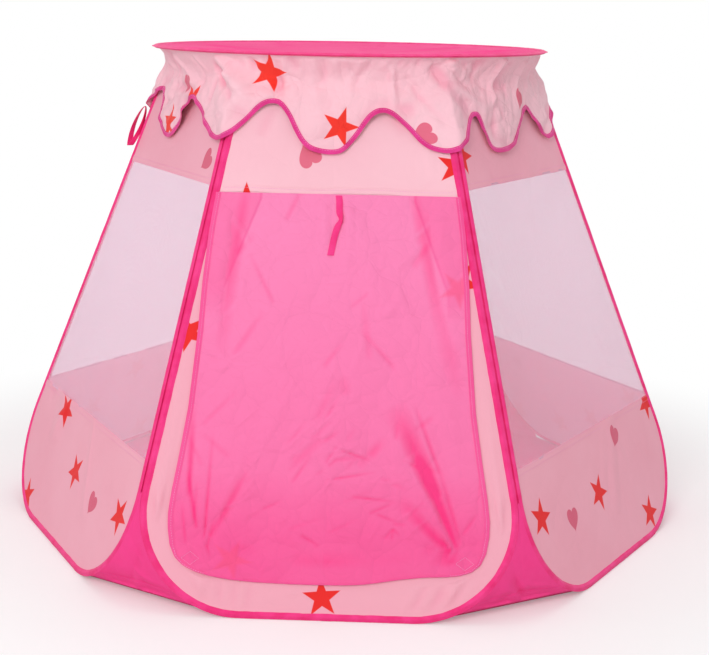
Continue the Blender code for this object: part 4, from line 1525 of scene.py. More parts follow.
    def flap_surface(self, across: Array, up: Array, lift: float = 0.0) -> Array:
        """Points on the flap.

        Args:
            across: Coordinates across the panel.
            up: Coordinates up its slope.
            lift: Distance outside the flap's middle surface.

        Returns:
            Points in the tent's frame.
        """
        drop = np.clip((self.flap_top - up) / (self.flap_top - 0.0535), 0, 1)
        side = np.clip(1 - np.abs(across) / np.maximum(self.flap_half(up), 1e-6), 0, 1)
        free = np.clip(side / 0.16, 0, 1) * np.clip(drop / 0.05, 0, 1) * np.clip((1 - drop) / 0.06, 0, 1)
        billow = 0.0105 * np.sin(math.pi * drop ** 1.4) * np.clip(side, 0, 1) ** 0.8
        waves = 0.0016 * np.sin(across * 40 + 2.2 * np.sin(up * 7)) * np.sin(math.pi * drop)
        hem = 0.0012 * np.clip(1 - (1 - drop) / 0.06, 0, 1) * (1 + np.sin(across * 24 + 0.6))
        folds = self.flap_relief()(across, up)
        out = self.flap_face + billow + hem + free * (np.maximum(folds, -0.004) + waves + 0.001)
        return self.place.world(across, up, np.maximum(out, self.flap_face) + lift)

    @staticmethod
    def drape(across: Array, up: Array) -> Array:
        """Height of the flap's cloth after its lower edge has been pulled up by its patches."""
        pull = 0.003 + 0.013 * np.exp(-((across - 0.15) / 0.075) ** 2)
        return up + pull * np.clip((0.20 - up) / 0.14, 0, 1)

    @staticmethod
    def shade_low(desk: NodeDesk, place: Socket,
                  tone: Socket) -> Socket:
        """Deeper pink below the top band, where less light comes through; see glow."""
        up = desk.put("ShaderNodeSeparateXYZ", {0: place}).outputs[1]
        share = desk.put("ShaderNodeMapRange", {"Value": up, "From Min": 0.72, "From Max": 0.60,
                                                "To Max": 0.75})
        return desk.blend(share.outputs[0], tone, colour(246, 166, 186))

    def glow(self, desk: NodeDesk, place: Socket,
             tone: Socket) -> Socket:
        """Painted light on the flap: paler pink where daylight comes through the doorway behind it, a painted
        shadow line along the doorway's edge, and the surround's stars painted faintly through.

        Args:
            desk: Desk of the flap's material.
            place: The cloth's coordinates.
            tone: Its colour so far.

        Returns:
            The changed colour.
        """
        split = desk.put("ShaderNodeSeparateXYZ", {0: place})
        aside = desk.math("ABSOLUTE", split.outputs[0])
        up = split.outputs[1]
        low = desk.put("ShaderNodeMapRange", {"Value": up, "From Min": self.sill, "From Max": self.shoulder,
                                              "To Min": self.sill_half, "To Max": self.shoulder_half})
        high = desk.put("ShaderNodeMapRange", {"Value": up, "From Min": self.shoulder,
                                               "From Max": self.head, "To Min": 0.0,
                                               "To Max": self.shoulder_half - self.head_half})
        width = desk.math("SUBTRACT", low.outputs[0], high.outputs[0])
        # Painted light: a mask of the open doorway behind the flap, paler pink where daylight comes through.
        inward = desk.math("SUBTRACT", width, aside)
        open_low = desk.math("MULTIPLY", desk.math("SUBTRACT", 0.60, up), 9.0, clamp=True)
        step = desk.math("MULTIPLY_ADD", inward, 120.0, 0.5, clamp=True)
        side = desk.math("MULTIPLY_ADD", step, 0.45, 0.55)
        side = desk.math("MAXIMUM", open_low, side)
        # Painted shadow: a darker line along the doorway's edge behind the flap.
        line = desk.math("SUBTRACT", 1.0, desk.math("MULTIPLY", desk.math("ABSOLUTE", inward), 260.0),
                         clamp=True)
        foot = desk.math("MULTIPLY", desk.math("SUBTRACT", up, self.sill + 0.01), 9.0, clamp=True)
        fade = desk.put("ShaderNodeMapRange", {"Value": up, "From Min": 0.15, "From Max": 0.65,
                                               "To Min": 0.35, "To Max": 0.9})
        share = desk.math("MULTIPLY", desk.math("MULTIPLY", side, foot), fade.outputs[0])
        tone = desk.blend(share, tone, colour(255, 142, 192))
        line = desk.math("MULTIPLY", line, desk.math("SUBTRACT", 1.0, open_low))
        tone = desk.blend(desk.math("MULTIPLY", line, 0.5), tone, colour(244, 76, 146))
        # Painted light: faint copies of the surround's stars behind the flap, as if seen through it.
        for centre, turn in (((0.205, 0.548, 0.0), 0.2), ((-0.157, 0.093, 0.0), 0.1)):
            for reach in (0.037, 0.031, 0.025):
                see_through_star = desk.use(self.finishes.groups.star, Vector=place, Centre=centre, Reach=reach,
                                 Turn=turn)
                seen = desk.math("MULTIPLY", see_through_star.outputs["Mask"], 0.2)
                tone = desk.blend(seen, tone, colour(255, 84, 128))
        return tone

    def hang_flap(self) -> None:
        """Flap, its hem tape and stitches, its patches and the ribbon ties."""
        up = np.concatenate([np.array([row[0] for row in self.flap_edge[:8]]),
                             np.linspace(0.120, 0.360, 96), np.linspace(0.364, self.flap_top, 86)])[:, None]
        across = np.linspace(-1, 1, 220)[None, :] * self.flap_half(up)
        heights = self.drape(across, up)
        # Painted light: the flap's paler backlit pink, with the doorway's glow painted over it.
        cloth = self.finishes.backlit_flap_cloth.build("door_flap_taffeta", self.finishes.groups, glow=self.glow)
        # Painted shade in the valleys of the flap's folds.
        flap = solid_sheet("door_flap", self.flap_surface(across, heights),
                           np.stack([across, heights], -1), 0.0006, cloth,
                           fold_shade=-self.flap_relief()(across, heights) / 0.0055)
        seam, free = (tuple(self.place.world(np.array(0.0), np.array(level), self.flap_face)[:3])
                      for level in (self.flap_top, self.flap_top - 0.016))
        bend = Bend("door_flap", seam, free)
        self.settle(flap, self.body, Slot.PLAIN, ("door_flap_cloth",), bend)
        table = np.array(self.flap_edge)
        right = np.column_stack([table[:, 1], table[:, 0]])
        foot = np.column_stack([np.linspace(0, 0.060, 6)[:-1], np.full(5, 0.0535)])
        half = np.concatenate([foot, right])
        rim = np.concatenate([(half[::-1] * np.array([-1, 1]))[:-1], half])
        steps = np.concatenate([[0], np.cumsum(np.linalg.norm(np.diff(rim, axis=0), axis=1))])
        spots = np.linspace(0, steps[-1], 420)
        rim = np.stack([np.interp(spots, steps, rim[:, axis]) for axis in (0, 1)], -1)
        rim[:, 1] = self.drape(rim[:, 0], rim[:, 1])
        wide = self.flap_hem * (0.3 + 0.7 * np.clip((rim[:, 1] - 0.08) / 0.04, 0, 1))[:, None]
        tangent = np.gradient(rim, axis=0)
        inward = np.stack([-tangent[:, 1], tangent[:, 0]], -1)
        inward /= np.linalg.norm(inward, axis=1, keepdims=True)

        def lane(share: float, lift: float) -> Array:
            shifted = rim + inward * wide * share
            shifted[:, 1] = np.minimum(shifted[:, 1], self.flap_top)
            pucker = 0.0005 * math.sin(math.pi * share) * (1 + np.sin(spots * 300 + 2 * np.sin(spots * 41)))
            return self.flap_surface(shifted[:, 0], shifted[:, 1], lift + pucker)

        shares = np.linspace(0, 1, 7)
        band = np.stack([lane(share, 0.0006) for share in shares])
        places = np.stack([np.stack([spots, np.full(420, share * self.flap_hem)], -1) for share in shares])
        hem = self.finishes.backlit_hem_cloth.build("door_flap_hem", self.finishes.groups)
        tape = solid_sheet("door_flap_hem_tape", band, places, 0.0005, hem)
        self.settle(tape, self.body, Slot.BINDING, ("door_flap_tape",), bend)
        sides = [lane(0.6, 0.0011)[pick] for pick in (slice(0, 162), slice(-162, None))]
        self.stitch("door_flap_hem_stitches", [(side, False) for side in sides],
                    Matrix.Identity(4), self.body, pale=True, bend=bend, Pitch=0.0042)
        self.lay_patches()
        self.hang_ties(bend)

    def lay_patches(self) -> None:
        """Hook-and-loop squares behind the flap's corners, and the diamonds sewn through it."""
        reach = self.patch_side / math.sqrt(2)
        runs = []
        for sign, label in ((-1, "left"), (1, "right")):
            corners = np.array([[reach, 0], [0, reach], [-reach, 0], [0, -reach], [reach, 0]])
            outline = np.concatenate([np.linspace(a, b, 12)[:-1] for a, b in zip(corners, corners[1:])])
            spine = float(self.drape(np.array(sign * self.patch_across), np.array(self.patch_up)))
            spot = outline * np.array([1.0, 0.74]) + np.array([sign * self.patch_across, spine])
            runs.append((self.flap_surface(spot[:, 0], spot[:, 1], 0.0012), True))
            for owner, solid, out, body in (
                    ("flap_patch_", "flap_hook_patch_", SIZES.cloth_middle + 0.00095, "door_flap"),
                    ("surround_patch_", "surround_loop_patch_", SIZES.cloth_middle + 0.00055, self.body)):
                share = np.linspace(-1, 1, 9)
                first, second = np.meshgrid(share, share)
                across = sign * self.patch_across + (first - second) * reach / 2
                up = spine + (first + second) * reach / 2
                points = self.place.world(across, up, out)
                patch = solid_sheet(owner + label, points, np.stack([across, up], -1), 0.0003,
                                    self.finishes.hook)
                self.settle(patch, body, Slot.HOOK, (solid + label,))
        self.stitch("flap_patch_stitches", runs, Matrix.Identity(4), "door_flap", pale=True,
                    Pitch=0.003, Stitch_Length=0.0024)

    def hang_ties(self, bend: Bend) -> None:
        """Outer tie with its kink, and the inner tie behind the doorway's head.

        Args:
            bend: How the flap's top turns with it.
        """
        spine = np.array([(0.001, 0.7035), (0.003, 0.690), (0.003, 0.672), (0.007, 0.661), (0.001, 0.650),
                          (-0.004, 0.632), (-0.007, 0.615), (-0.010, 0.598)])
        share = np.linspace(0, 1, 60)
        marks = np.linspace(0, 1, len(spine))
        middle = np.stack([np.interp(share, marks, spine[:, axis]) for axis in (0, 1)], -1)
        kernel = np.ones(7) / 7
        padded = np.pad(middle, ((3, 3), (0, 0)), mode="edge")
        middle = np.stack([np.convolve(padded[:, axis], kernel, "valid") for axis in (0, 1)], -1)
        width = 0.0055 - 0.0022 * np.exp(-((share - 0.42) / 0.08) ** 2)
        rail = np.linspace(-1, 1, 7)
        across = middle[:, :1] + rail[None, :] * width[:, None]
        up = middle[:, 1:] + 0 * across
        twist = 0.0016 * rail[None, :] * np.exp(-((share[:, None] - 0.42) / 0.12) ** 2)
        fold = 0.0010 * (1 - rail[None, :] ** 2) + 0.0022 * np.sin(math.pi * share[:, None]) ** 2
        base = self.flap_surface(across, up, 0.0007)
        lift = np.array(self.place.matrix.to_3x3())[:, 2]
        points = base + (twist + fold)[..., None] * lift
        places = np.stack([across, up], -1)
        tie = solid_sheet("outer_tie", points[::-1], places[::-1], 0.0007, self.finishes.binding)
        self.settle(tie, self.body, Slot.BINDING, ("door_tie_outer",), bend)
        up = np.linspace(0.607, 0.707, 40)[:, None]
        across = rail[None, :] * 0.006 + 0.002 * np.sin(up * 60)
        out = SIZES.cloth_middle - 0.0011 - 0.0008 * (1 - rail[None, :] ** 2) + 0 * up
        inner = solid_sheet("inner_tie", self.place.world(across, up + 0 * across, out),
                            np.stack([across, up + 0 * across], -1), 0.0007, self.finishes.binding)
        self.settle(inner, self.body, Slot.BINDING, ("door_tie_inner",))


# Crown and roof


@dataclass
class CrownDress(Dresser):
    """Roof hoop, roof cloth, and the crumpled crown with its scalloped edge."""

    body: str = "roof_hoop"
    top_inset: float = 0.0115
    clearance: float = 0.0009
    edge_tape_width: float = 0.0072
    sag: float = 0.012
    # Angle in degrees and height in metres of the lower edge. The 53 pairs in front were worked out
    # by another program from points read in the photograph, and 22 of them were then moved by hand.
    edge_marks: Sequence[tuple[float, float]] = field(default_factory=lambda: (
        (-79, 0.815), (-77.5, 0.790), (-74.5, 0.756), (-69.5, 0.736), (-65, 0.736), (-62, 0.750),
        (-57.3, 0.776), (-55, 0.805), (-52, 0.813), (-48, 0.800), (-42.2, 0.776), (-36, 0.755),
        (-32, 0.750), (-29, 0.757), (-26.6, 0.772), (-24.1, 0.794), (-21.9, 0.810), (-19.2, 0.816),
        (-16.9, 0.811), (-14.3, 0.791), (-11.6, 0.761), (-9.5, 0.744), (-6.9, 0.736), (-3.2, 0.732),
        (0, 0.733), (1.8, 0.740), (4.6, 0.759), (7.1, 0.782), (9.2, 0.798), (11.7, 0.804), (14.2, 0.800),
        (18.9, 0.774), (21.1, 0.755), (23.7, 0.742), (27.5, 0.737), (30.5, 0.744), (34.7, 0.764),
        (37.2, 0.787), (40, 0.797), (41.8, 0.792), (43.6, 0.765), (45, 0.742), (47.5, 0.731), (51, 0.729),
        (56.8, 0.731), (61.5, 0.741), (65.4, 0.769), (69.1, 0.794), (72.3, 0.799), (74.2, 0.790),
        (76.8, 0.765), (81.4, 0.738), (85, 0.744)) + tuple(
            (turn, 0.780 + 0.035 * math.cos(math.radians(12 * (turn - 6.5)))) for turn in range(92, 278, 4)))

    def edge_height(self, angle: Array) -> Array:
        """Height of the valance's edge: rounded lobes between rounder or sharper crests.

        Args:
            angle: Angles in radians, from the front towards +X.

        Returns:
            The height at each angle.
        """
        marks = np.array(self.edge_marks)
        return sum(np.interp(np.degrees(angle) + shift, marks[:, 0], marks[:, 1], period=360)
                   for shift in (-1.2, -0.6, 0, 0.6, 1.2)) / 5

    def skin(self, angle: Array, height: Array) -> Array:
        """Radius of the outside of the panels' binding at a height."""
        inner = (SIZES.base_radius - SIZES.seam_slope * height) * math.cos(SIZES.turn / 2)
        flat = inner + SIZES.sleeve_thickness / math.cos(SIZES.lean) + self.clearance
        off = (angle + SIZES.turn / 2) % SIZES.turn - SIZES.turn / 2
        return flat / np.cos(off)

    def crumple(self) -> Creases:
        """Creases of the crown, in metres round the hoop and up it."""
        reach = math.pi * SIZES.hoop_radius
        folds = Creases([Crease(across, up, math.radians(turn), length, width, height, flare)
                         for across, up, turn, length, width, height, flare in (
            (-0.245, 0.888, -36, 0.135, 0.018, 0.0160, 0.5), (-0.262, 0.872, -30, 0.110, 0.012, -0.008, 0.4),
            (-0.212, 0.865, -97, 0.085, 0.014, 0.0080, 0.3), (-0.395, 0.885, -42, 0.075, 0.008, 0.006, 0.3),
            (0.187, 0.890, -38, 0.150, 0.016, 0.0130, 0.6), (0.190, 0.850, -27, 0.120, 0.012, 0.008, 0.4),
            (0.205, 0.868, -32, 0.110, 0.010, -0.007, 0.4), (0.331, 0.892, -104, 0.095, 0.010, 0.014, 0.3),
            (-0.250, 0.862, -38, 0.120, 0.014, -0.011, 0.5), (0.160, 0.880, -42, 0.130, 0.013, -0.010, 0.5),
            (0.310, 0.820, 15, 0.060, 0.012, 0.0070, 0.4), (0.092, 0.875, -85, 0.075, 0.008, 0.008, 0.2),
            (-0.060, 0.890, -75, 0.110, 0.014, 0.0060, 0.4), (-0.470, 0.885, -80, 0.10, 0.014, 0.008, 0.4),
            (0.420, 0.885, -95, 0.120, 0.014, 0.0090, 0.4))])
        folds.scatter(7, 150, (-reach, reach, 0.745, 0.90), (0.05, 0.14), (0.008, 0.020), 0.0062, (-75, 255))
        folds.scatter(8, 90, (-reach, reach, 0.880, 0.900), (0.03, 0.09), (0.006, 0.012), 0.0056, (-130, -50))
        folds.scatter(9, 110, (-reach, reach, 0.73, 0.83), (0.03, 0.09), (0.008, 0.016), 0.0040, (40, 140))
        return folds

    def surface(self, angle: Array, height: Array, lift: float = 0.0) -> Array:
        """Points on the crown.

        Args:
            angle: Angles in radians, from the front towards +X.
            height: Heights over the ground.
            lift: Distance outside the cloth's middle surface.

        Returns:
            Points in the tent's frame.
        """
        top = SIZES.hoop_radius - self.top_inset
        share = np.clip((SIZES.crown_top - height) / (SIZES.crown_top - SIZES.panel_top), 0, 1)
        ease = share * share * (3 - 2 * share)
        skin = self.skin(angle, height)
        broad = 0.5 - 0.5 * np.cos(15 * angle + 0.8 * np.sin(2 * angle))
        billow = 0.016 * (0.5 + 0.5 * np.cos(6 * angle)) * np.clip((height - 0.745) / 0.09, 0, 1)
        low = skin + 0.0012 + 0.0042 * broad * (0.4 + 0.6 * share) + billow
        top = top + 0.006 * np.exp((height - SIZES.crown_top) / 0.004)
        radius = top * (1 - ease) + low * ease
        neck = -0.0030 * np.sin(math.pi * np.clip(share * 1.1, 0, 1)) * (0.4 + 0.6 * np.sin(9 * angle + 1))
        place = angle * SIZES.hoop_radius
        folds = self.crumple().rise(place, height)
        free = np.clip(share / 0.12, 0, 1)
        radius = radius + free * (folds + neck)
        corner = np.abs((angle + SIZES.turn / 2) % SIZES.turn - SIZES.turn / 2) / (SIZES.turn / 2)
        guard = np.where(height < SIZES.panel_top + 0.002 - 0.022 * corner ** 6, skin + 0.0004, 0.0)
        radius = np.maximum(radius, guard) + lift
        return np.stack([radius * np.sin(angle), -radius * np.cos(angle), height + 0 * radius], -1)

    def hang_crown(self, marks: Sequence[Mark]) -> None:
        """Crown cloth, and the tape and stitches along its scallops.

        Args:
            marks: What is printed on it, in metres round the hoop and up.
        """
        columns, rows = 820, 56
        angle = np.linspace(-math.pi, math.pi, columns, endpoint=False)[None, :]
        foot = self.edge_height(angle)
        share = np.linspace(0, 1, rows)[:, None]
        height = foot * (1 - share) + SIZES.crown_top * share
        points = self.surface(np.broadcast_to(angle, height.shape), height)
        wide = np.concatenate([angle, [[math.pi]]], axis=1) * SIZES.hoop_radius
        tall = np.concatenate([height, height[:, :1]], axis=1)
        places = np.stack([np.broadcast_to(wide, tall.shape), tall], -1)
        cloth = self.finishes.printed("crown_print", marks, self.finishes.crown_cloth)
        place = np.broadcast_to(angle, height.shape) * SIZES.hoop_radius
        # Painted shade in the valleys of the crown's creases.
        crown = solid_sheet("crown_cloth", points, places, 0.0005, cloth, closed=True,
                            fold_shade=-self.crumple().rise(place, height) / 0.0055)
        self.settle(crown, self.body, Slot.PRINT, ("crown_valance",))
        fine = np.linspace(-math.pi, math.pi, 960, endpoint=False)
        edge = self.edge_height(fine)
        slope = np.gradient(edge, fine * SIZES.hoop_radius)
        run = np.sqrt(1 + slope ** 2)
        lanes = []
        for offset in (-0.0008, 0.0018, 0.0045, self.edge_tape_width):
            turned = fine - offset * slope / run / SIZES.hoop_radius
            lanes.append(self.surface(turned, edge + offset / run, 0.0009))
        flat = np.stack([np.stack([np.arange(961) * 0.0024, np.full(961, 0.003 * i)], -1)
                         for i in range(len(lanes))])
        tape = solid_sheet("valance_edge", np.stack(lanes), flat, 0.0008, self.finishes.edge_tape,
                           closed=True)
        self.settle(tape, self.body, Slot.BINDING, ("valance_tape",))
        turned = fine - 0.0054 * slope / run / SIZES.hoop_radius
        runs = [(self.surface(turned, edge + 0.0054 / run, 0.0015), True)]
        sewn = self.stitch("valance_stitches", runs, Matrix.Identity(4), self.body, pale=True)
        for piece in (crown, tape, sewn):
            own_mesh(piece)

    def bind_hoop(self) -> None:
        """Sleeve of the roof hoop with its thin outer flange."""
        angles = np.linspace(0, 2 * math.pi, 240, endpoint=False) + math.pi / 2
        ring = np.stack([SIZES.hoop_radius * np.cos(angles), SIZES.hoop_radius * np.sin(angles),
                         np.full(240, SIZES.hoop_middle)], -1)
        sleeve = self.threader.grow(
            "roof_hoop_binding", self.threader.sleeve, [(ring, True)], Matrix.Identity(4),
            self.finishes.binding, Width=SIZES.sleeve_width, Thickness=SIZES.sleeve_thickness,
            Pucker=0.0004, Seed=11.0)
        self.settle(sleeve, self.body, Slot.BINDING, ("hoop_binding_sleeve",))
        inner = SIZES.hoop_radius - SIZES.sleeve_width / 2 + 0.002
        run = np.stack([inner * np.cos(angles), inner * np.sin(angles),
                        np.full(240, SIZES.hoop_middle + 0.0009)], -1)
        self.stitch("roof_hoop_stitches", [(run, True)], Matrix.Identity(4), self.body)

    def lay_roof(self) -> None:
        """Roof cloth: it sags inside the hoop, with folds that run out to the rim."""
        share = np.linspace(-1, 1, 121)
        first, second = np.meshgrid(share, share)
        reach = SIZES.hoop_radius - SIZES.sleeve_width / 2 + 0.0012
        across = first * np.sqrt(1 - second ** 2 / 2) * reach
        back = second * np.sqrt(1 - first ** 2 / 2) * reach
        radius = np.hypot(across, back) / reach
        folds = Creases()
        for index, turn in enumerate((12, 47, 80, 121, 158, 196, 232, 270, 303, 340)):
            spin = math.radians(turn)
            folds.ridges.append(Crease(0.33 * math.cos(spin), 0.33 * math.sin(spin), spin + math.pi * 0.97,
                                       0.20 + 0.03 * (index % 3), 0.010, 0.0040, 1.0))
        folds.scatter(21, 40, (-0.3, 0.3, -0.3, 0.3), (0.05, 0.16), (0.006, 0.014), 0.0016)
        still = np.clip((1 - radius) / 0.08, 0, 1)
        height = (SIZES.hoop_middle - self.sag * (1 - radius ** 2)
                  + np.clip(folds.rise(across, back), -0.003, 0.004) * still)
        cloth = self.finishes.deep_cloth.build("roof_taffeta", self.finishes.groups)
        roof = solid_sheet("roof_cloth", np.stack([across, back, height], -1),
                           np.stack([across, back], -1), 0.0005, cloth)
        self.settle(roof, self.body, Slot.PLAIN, ("roof_disc",))


# Ground


@dataclass
class GroundDress(Dresser):
    """Ground sheet, corner gussets and the ribbon loop."""

    places: dict[str, PanelPlace] = field(default_factory=dict)

    def lay_floor(self) -> None:
        """Ground sheet, with soft wrinkles from being folded."""
        corners = []
        for step in range(SIZES.panel_count):
            place = PanelPlace(step, SIZES.seam_gap, SIZES.seam_gap)
            low = place.corner(place.limits(0)[0], SIZES.base_corner_radius, 0, SIZES.seam_gap, 1)
            for sign in (-1, 1):
                front = (step, sign) in ((0, -1), (0, 1), (1, -1), (SIZES.panel_count - 1, 1))
                side = low[0] + (SIZES.front_foot if front else SIZES.rear_foot)[0]
                corners.append(place.world(np.array(sign * side), np.array(0.0), 0.0008)[:2])
        corners = np.array(corners)
        share = np.linspace(-1, 1, 111)
        first, second = np.meshgrid(share, share)
        across = first * np.sqrt(1 - second ** 2 / 2)
        back = second * np.sqrt(1 - first ** 2 / 2)
        turn = np.arctan2(back, across)
        reach = np.full(turn.shape, np.inf)
        for one, two in zip(corners, np.roll(corners, -1, axis=0)):
            edge = two - one
            normal = np.array([edge[1], -edge[0]]) / np.linalg.norm(edge)
            facing = np.cos(turn) * normal[0] + np.sin(turn) * normal[1]
            distance = np.where(facing > 1e-6, (one @ normal) / np.maximum(facing, 1e-6), np.inf)
            reach = np.minimum(reach, distance)
        across, back = across * reach, back * reach
        folds = Creases().scatter(51, 60, (-0.55, 0.55, -0.55, 0.55), (0.10, 0.40), (0.010, 0.022), 0.0040)
        inside = np.clip((1 - np.hypot(across, back) / reach) / 0.06, 0, 1)
        rise = np.clip(folds.rise(across, back), 0, 0.006) * inside
        height = SIZES.floor_cloth / 2 + rise
        floor = solid_sheet("ground_sheet", np.stack([across, back, height], -1),
                            np.stack([across, back], -1), SIZES.floor_cloth, self.finishes.floor)
        self.settle(floor, "front_panel", Slot.PLAIN, ("floor",))
        DoorDress.ring_area(corners)
        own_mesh(floor)

    def sew_gusset(self, name: str, left: PanelPlace, right: PanelPlace, body: str,
                   other: str | None) -> None:
        """Corner gusset between the feet of two neighbouring panels.

        Args:
            name: Name of the solid that it stands for.
            left: Panel on its left.
            right: Panel on its right.
            body: Body that it rides on where no joint joins its two panels.
            other: Body of the panel on its right, if a joint joins the two; the gusset then rides on no body.
        """
        rims = []
        under = 6
        reach, turn = SIZES.front_foot if "front" in name else SIZES.rear_foot
        for place, edge in ((left, Edge.RIGHT), (right, Edge.LEFT)):
            foot = place.limits(0)[0]
            low = place.corner(foot, SIZES.base_corner_radius, -SIZES.fit, place.gaps[edge], 1)
            angles = np.linspace(-math.pi / 2 + turn, SIZES.taper - 0.02, 40)
            across = edge.value * (low[0] + low[2] * np.cos(angles))
            rim = place.world(across, low[1] + low[2] * np.sin(angles), SIZES.cloth_middle)
            tucked = place.world(np.array(edge.value * (low[0] + reach)), np.array(0.0), -0.004)
            climb = np.linspace(0, 1, under, endpoint=False)[:, None]
            rims.append(np.concatenate([tucked * (1 - climb) + rim[0] * climb, rim]))
        rows = np.arange(len(rims[0]))[:, None] - under
        share = np.linspace(0, 1, 56)[None, :, None]
        points = rims[0][:, None] * (1 - share) + rims[1][:, None] * share
        width = np.linalg.norm(rims[1] - rims[0], axis=1)[:, None]
        places = np.stack([(share[..., 0] - 0.5) * width, np.broadcast_to(
            points[:, :1, 2], (len(rows), 56))], -1)
        normals = grid_normals(points, False)
        middle = np.sin(math.pi * share[..., 0]) * np.clip(width / 0.2, 0, 1)
        folds = Creases().scatter(61 + len(name), 22, (-0.13, 0.13, 0.0, 0.15), (0.04, 0.13),
                                  (0.006, 0.013), 0.0048, (-35, 150))
        relief = np.clip(folds.rise(places[..., 0], places[..., 1]), -0.005, 0.004)
        gathers = np.sin(150 * places[..., 0]) * np.exp(-((rows - 9) / 2.5) ** 2)
        relief = relief + 0.0008 * gathers - 0.0022 * np.exp(-((rows - 6) / 0.9) ** 2)
        rise = (-0.004 + relief) * middle * (rows > 0)
        points = points + normals * rise[..., None]
        points[..., 2] = np.maximum(points[..., 2], SIZES.floor_cloth + SIZES.fit)
        points[0, :, 2] = SIZES.floor_cloth + SIZES.fit
        cloth = self.finishes.deep_cloth.build(name + "_taffeta", self.finishes.groups)
        # Painted shade in the valleys of the gusset's folds.
        piece = solid_sheet(name + "_cloth", points, places, 0.0005, cloth, fold_shade=-relief * middle / 0.006)
        bend = other and Bend(other, tuple(points[0, 0]), tuple(points[0, -1]))
        self.settle(piece, body, Slot.PLAIN, (name,), bend)
        sewn = points[under + 5] + normals[under + 5] * 0.0008
        self.stitch(name + "_stitches", [(sewn[1:-1], False)], Matrix.Identity(4), body, bend=bend)

    def join_seam(self, left: str, right: str) -> None:
        """Tape behind a seam, which closes the gap between two neighbours' bindings.

        Args:
            left: Name of the panel on the seam's left.
            right: Name of the panel on its right.
        """
        up = np.linspace(0.165, SIZES.slope_length - 0.028, 90)
        rows = []
        for name, edge in ((left, Edge.RIGHT), (right, Edge.LEFT)):
            place = self.places[name]
            for inset in (0.0065, 0.0035, 0.0010):
                across = edge.value * place.half_width(up, inset, edge)
                rows.append(place.world(across, up, 0.0014 - 0.0008 * (inset < 0.003)))
        grid = np.stack([*rows[:3], rows[5], rows[4], rows[3]], axis=1)
        rail = np.linspace(-0.006, 0.006, 6)
        places = np.stack(np.broadcast_arrays(rail[None, :], up[:, None]), -1)
        strip = solid_sheet(left + "_to_" + right + "_seam_tape", grid, places, 0.0006,
                            self.finishes.binding)
        bend = Bend(right + "_panel", tuple(grid[45, 0]), tuple(grid[45, -1]))
        self.settle(strip, left + "_panel", Slot.BINDING, bend=bend)

    def hang_ribbon(self) -> None:
        """Ribbon loop on the left seam, under the crown."""
        low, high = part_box("side_ribbon_loop")
        low, high = np.array(low), np.array(high)
        middle, half = (low + high) / 2, (high - low) / 2
        turn = np.linspace(0, 2 * math.pi, 72, endpoint=False)
        lean = SIZES.seam_slope
        tall = half[2] - 0.0008
        wide = math.sqrt(half[0] ** 2 - (lean * tall) ** 2) - 0.001
        up = tall * np.sin(turn)
        rail = np.linspace(-1, 1, 7)[:, None]
        twist = 0.55 * (1 - np.sin(turn))
        bow, band = np.cos(turn) * wide * (1 - 0.3 * np.sin(turn)), rail * (half[1] - 0.0006)
        points = np.stack([
            middle[0] + up * lean + bow * np.cos(twist) + band * np.sin(twist),
            middle[1] + band * np.cos(twist) - bow * np.sin(twist),
            middle[2] + up + 0 * rail], -1)
        flat = np.stack(np.broadcast_arrays(np.arange(73)[None, :] * 0.0022, rail * 0.006), -1)
        loop = solid_sheet("hanging_ribbon", points[::-1], flat, 0.0008, self.finishes.binding, closed=True)
        self.settle(loop, "front_left_panel", Slot.BINDING, ("side_ribbon_loop",))


# Setting


@dataclass(frozen=True)
class Camera:
    """Camera of the photograph, as it was fitted to the tent's seams and hems."""

    focal_pixels: float = 1450.0
    frame_width: float = 709.0
    frame_height: float = 655.0
    distance: float = 2.7973
    height: float = 0.985
    pitch: float = 0.2218
    roll: float = 0.0168
    aside: float = 0.0172
    orbit: float = 0.0372

    def frame(self) -> Matrix:
        """The camera's own frame: right, up, and backwards along its view."""
        spin = Matrix.Rotation(self.orbit, 3, "Z")
        forward = Vector((0, math.cos(self.pitch), -math.sin(self.pitch)))
        up = Vector((0, math.sin(self.pitch), math.cos(self.pitch)))
        right = Vector((1, 0, 0))
        leaned = right * math.cos(self.roll) + up * math.sin(self.roll)
        upright = up * math.cos(self.roll) - right * math.sin(self.roll)
        axes = Matrix((spin @ leaned, spin @ upright, spin @ -forward)).transposed().to_4x4()
        axes.translation = spin @ Vector((self.aside, -self.distance, self.height))
        return axes

    def sight(self, pixels: Array) -> tuple[Array, Array]:
        """Lines of sight through pixels of the photograph.

        Args:
            pixels: Rows of pixels across and down.

        Returns:
            The camera's place, and one direction for each pixel.
        """
        axes = np.array(self.frame())
        aside = (pixels - np.array([self.frame_width, self.frame_height]) / 2) * (1, -1) / self.focal_pixels
        return axes[:3, 3], np.column_stack([aside, -np.ones(len(aside))]) @ axes[:3, :3].T

    def build(self) -> None:
        """Place the camera and make it the scene's own."""
        data = bpy.data.cameras.new("photo_camera")
        data.sensor_width = 36.0
        data.lens = self.focal_pixels * data.sensor_width / self.frame_width
        made = bpy.data.objects.new("photo_camera", data)
        made.matrix_world = self.frame()
        bpy.context.scene.collection.objects.link(made)
        bpy.context.scene.camera = made


@dataclass(frozen=True)
class Lamp:
    """One soft box."""

    name: str
    place: tuple[float, float, float]
    target: tuple[float, float, float]
    width: float
    height: float
    power: float

    def build(self) -> None:
        """Hang the lamp."""
        data = bpy.data.lights.new(self.name, "AREA")
        data.shape = "RECTANGLE"
        data.size, data.size_y = self.width, self.height
        data.energy = self.power
        made = bpy.data.objects.new(self.name, data)
        made.visible_camera = made.visible_glossy = False
        aim = Vector(self.target) - Vector(self.place)
        made.matrix_world = Matrix.Translation(self.place) @ aim.to_track_quat("-Z", "Y").to_matrix().to_4x4()
        bpy.context.scene.collection.objects.link(made)


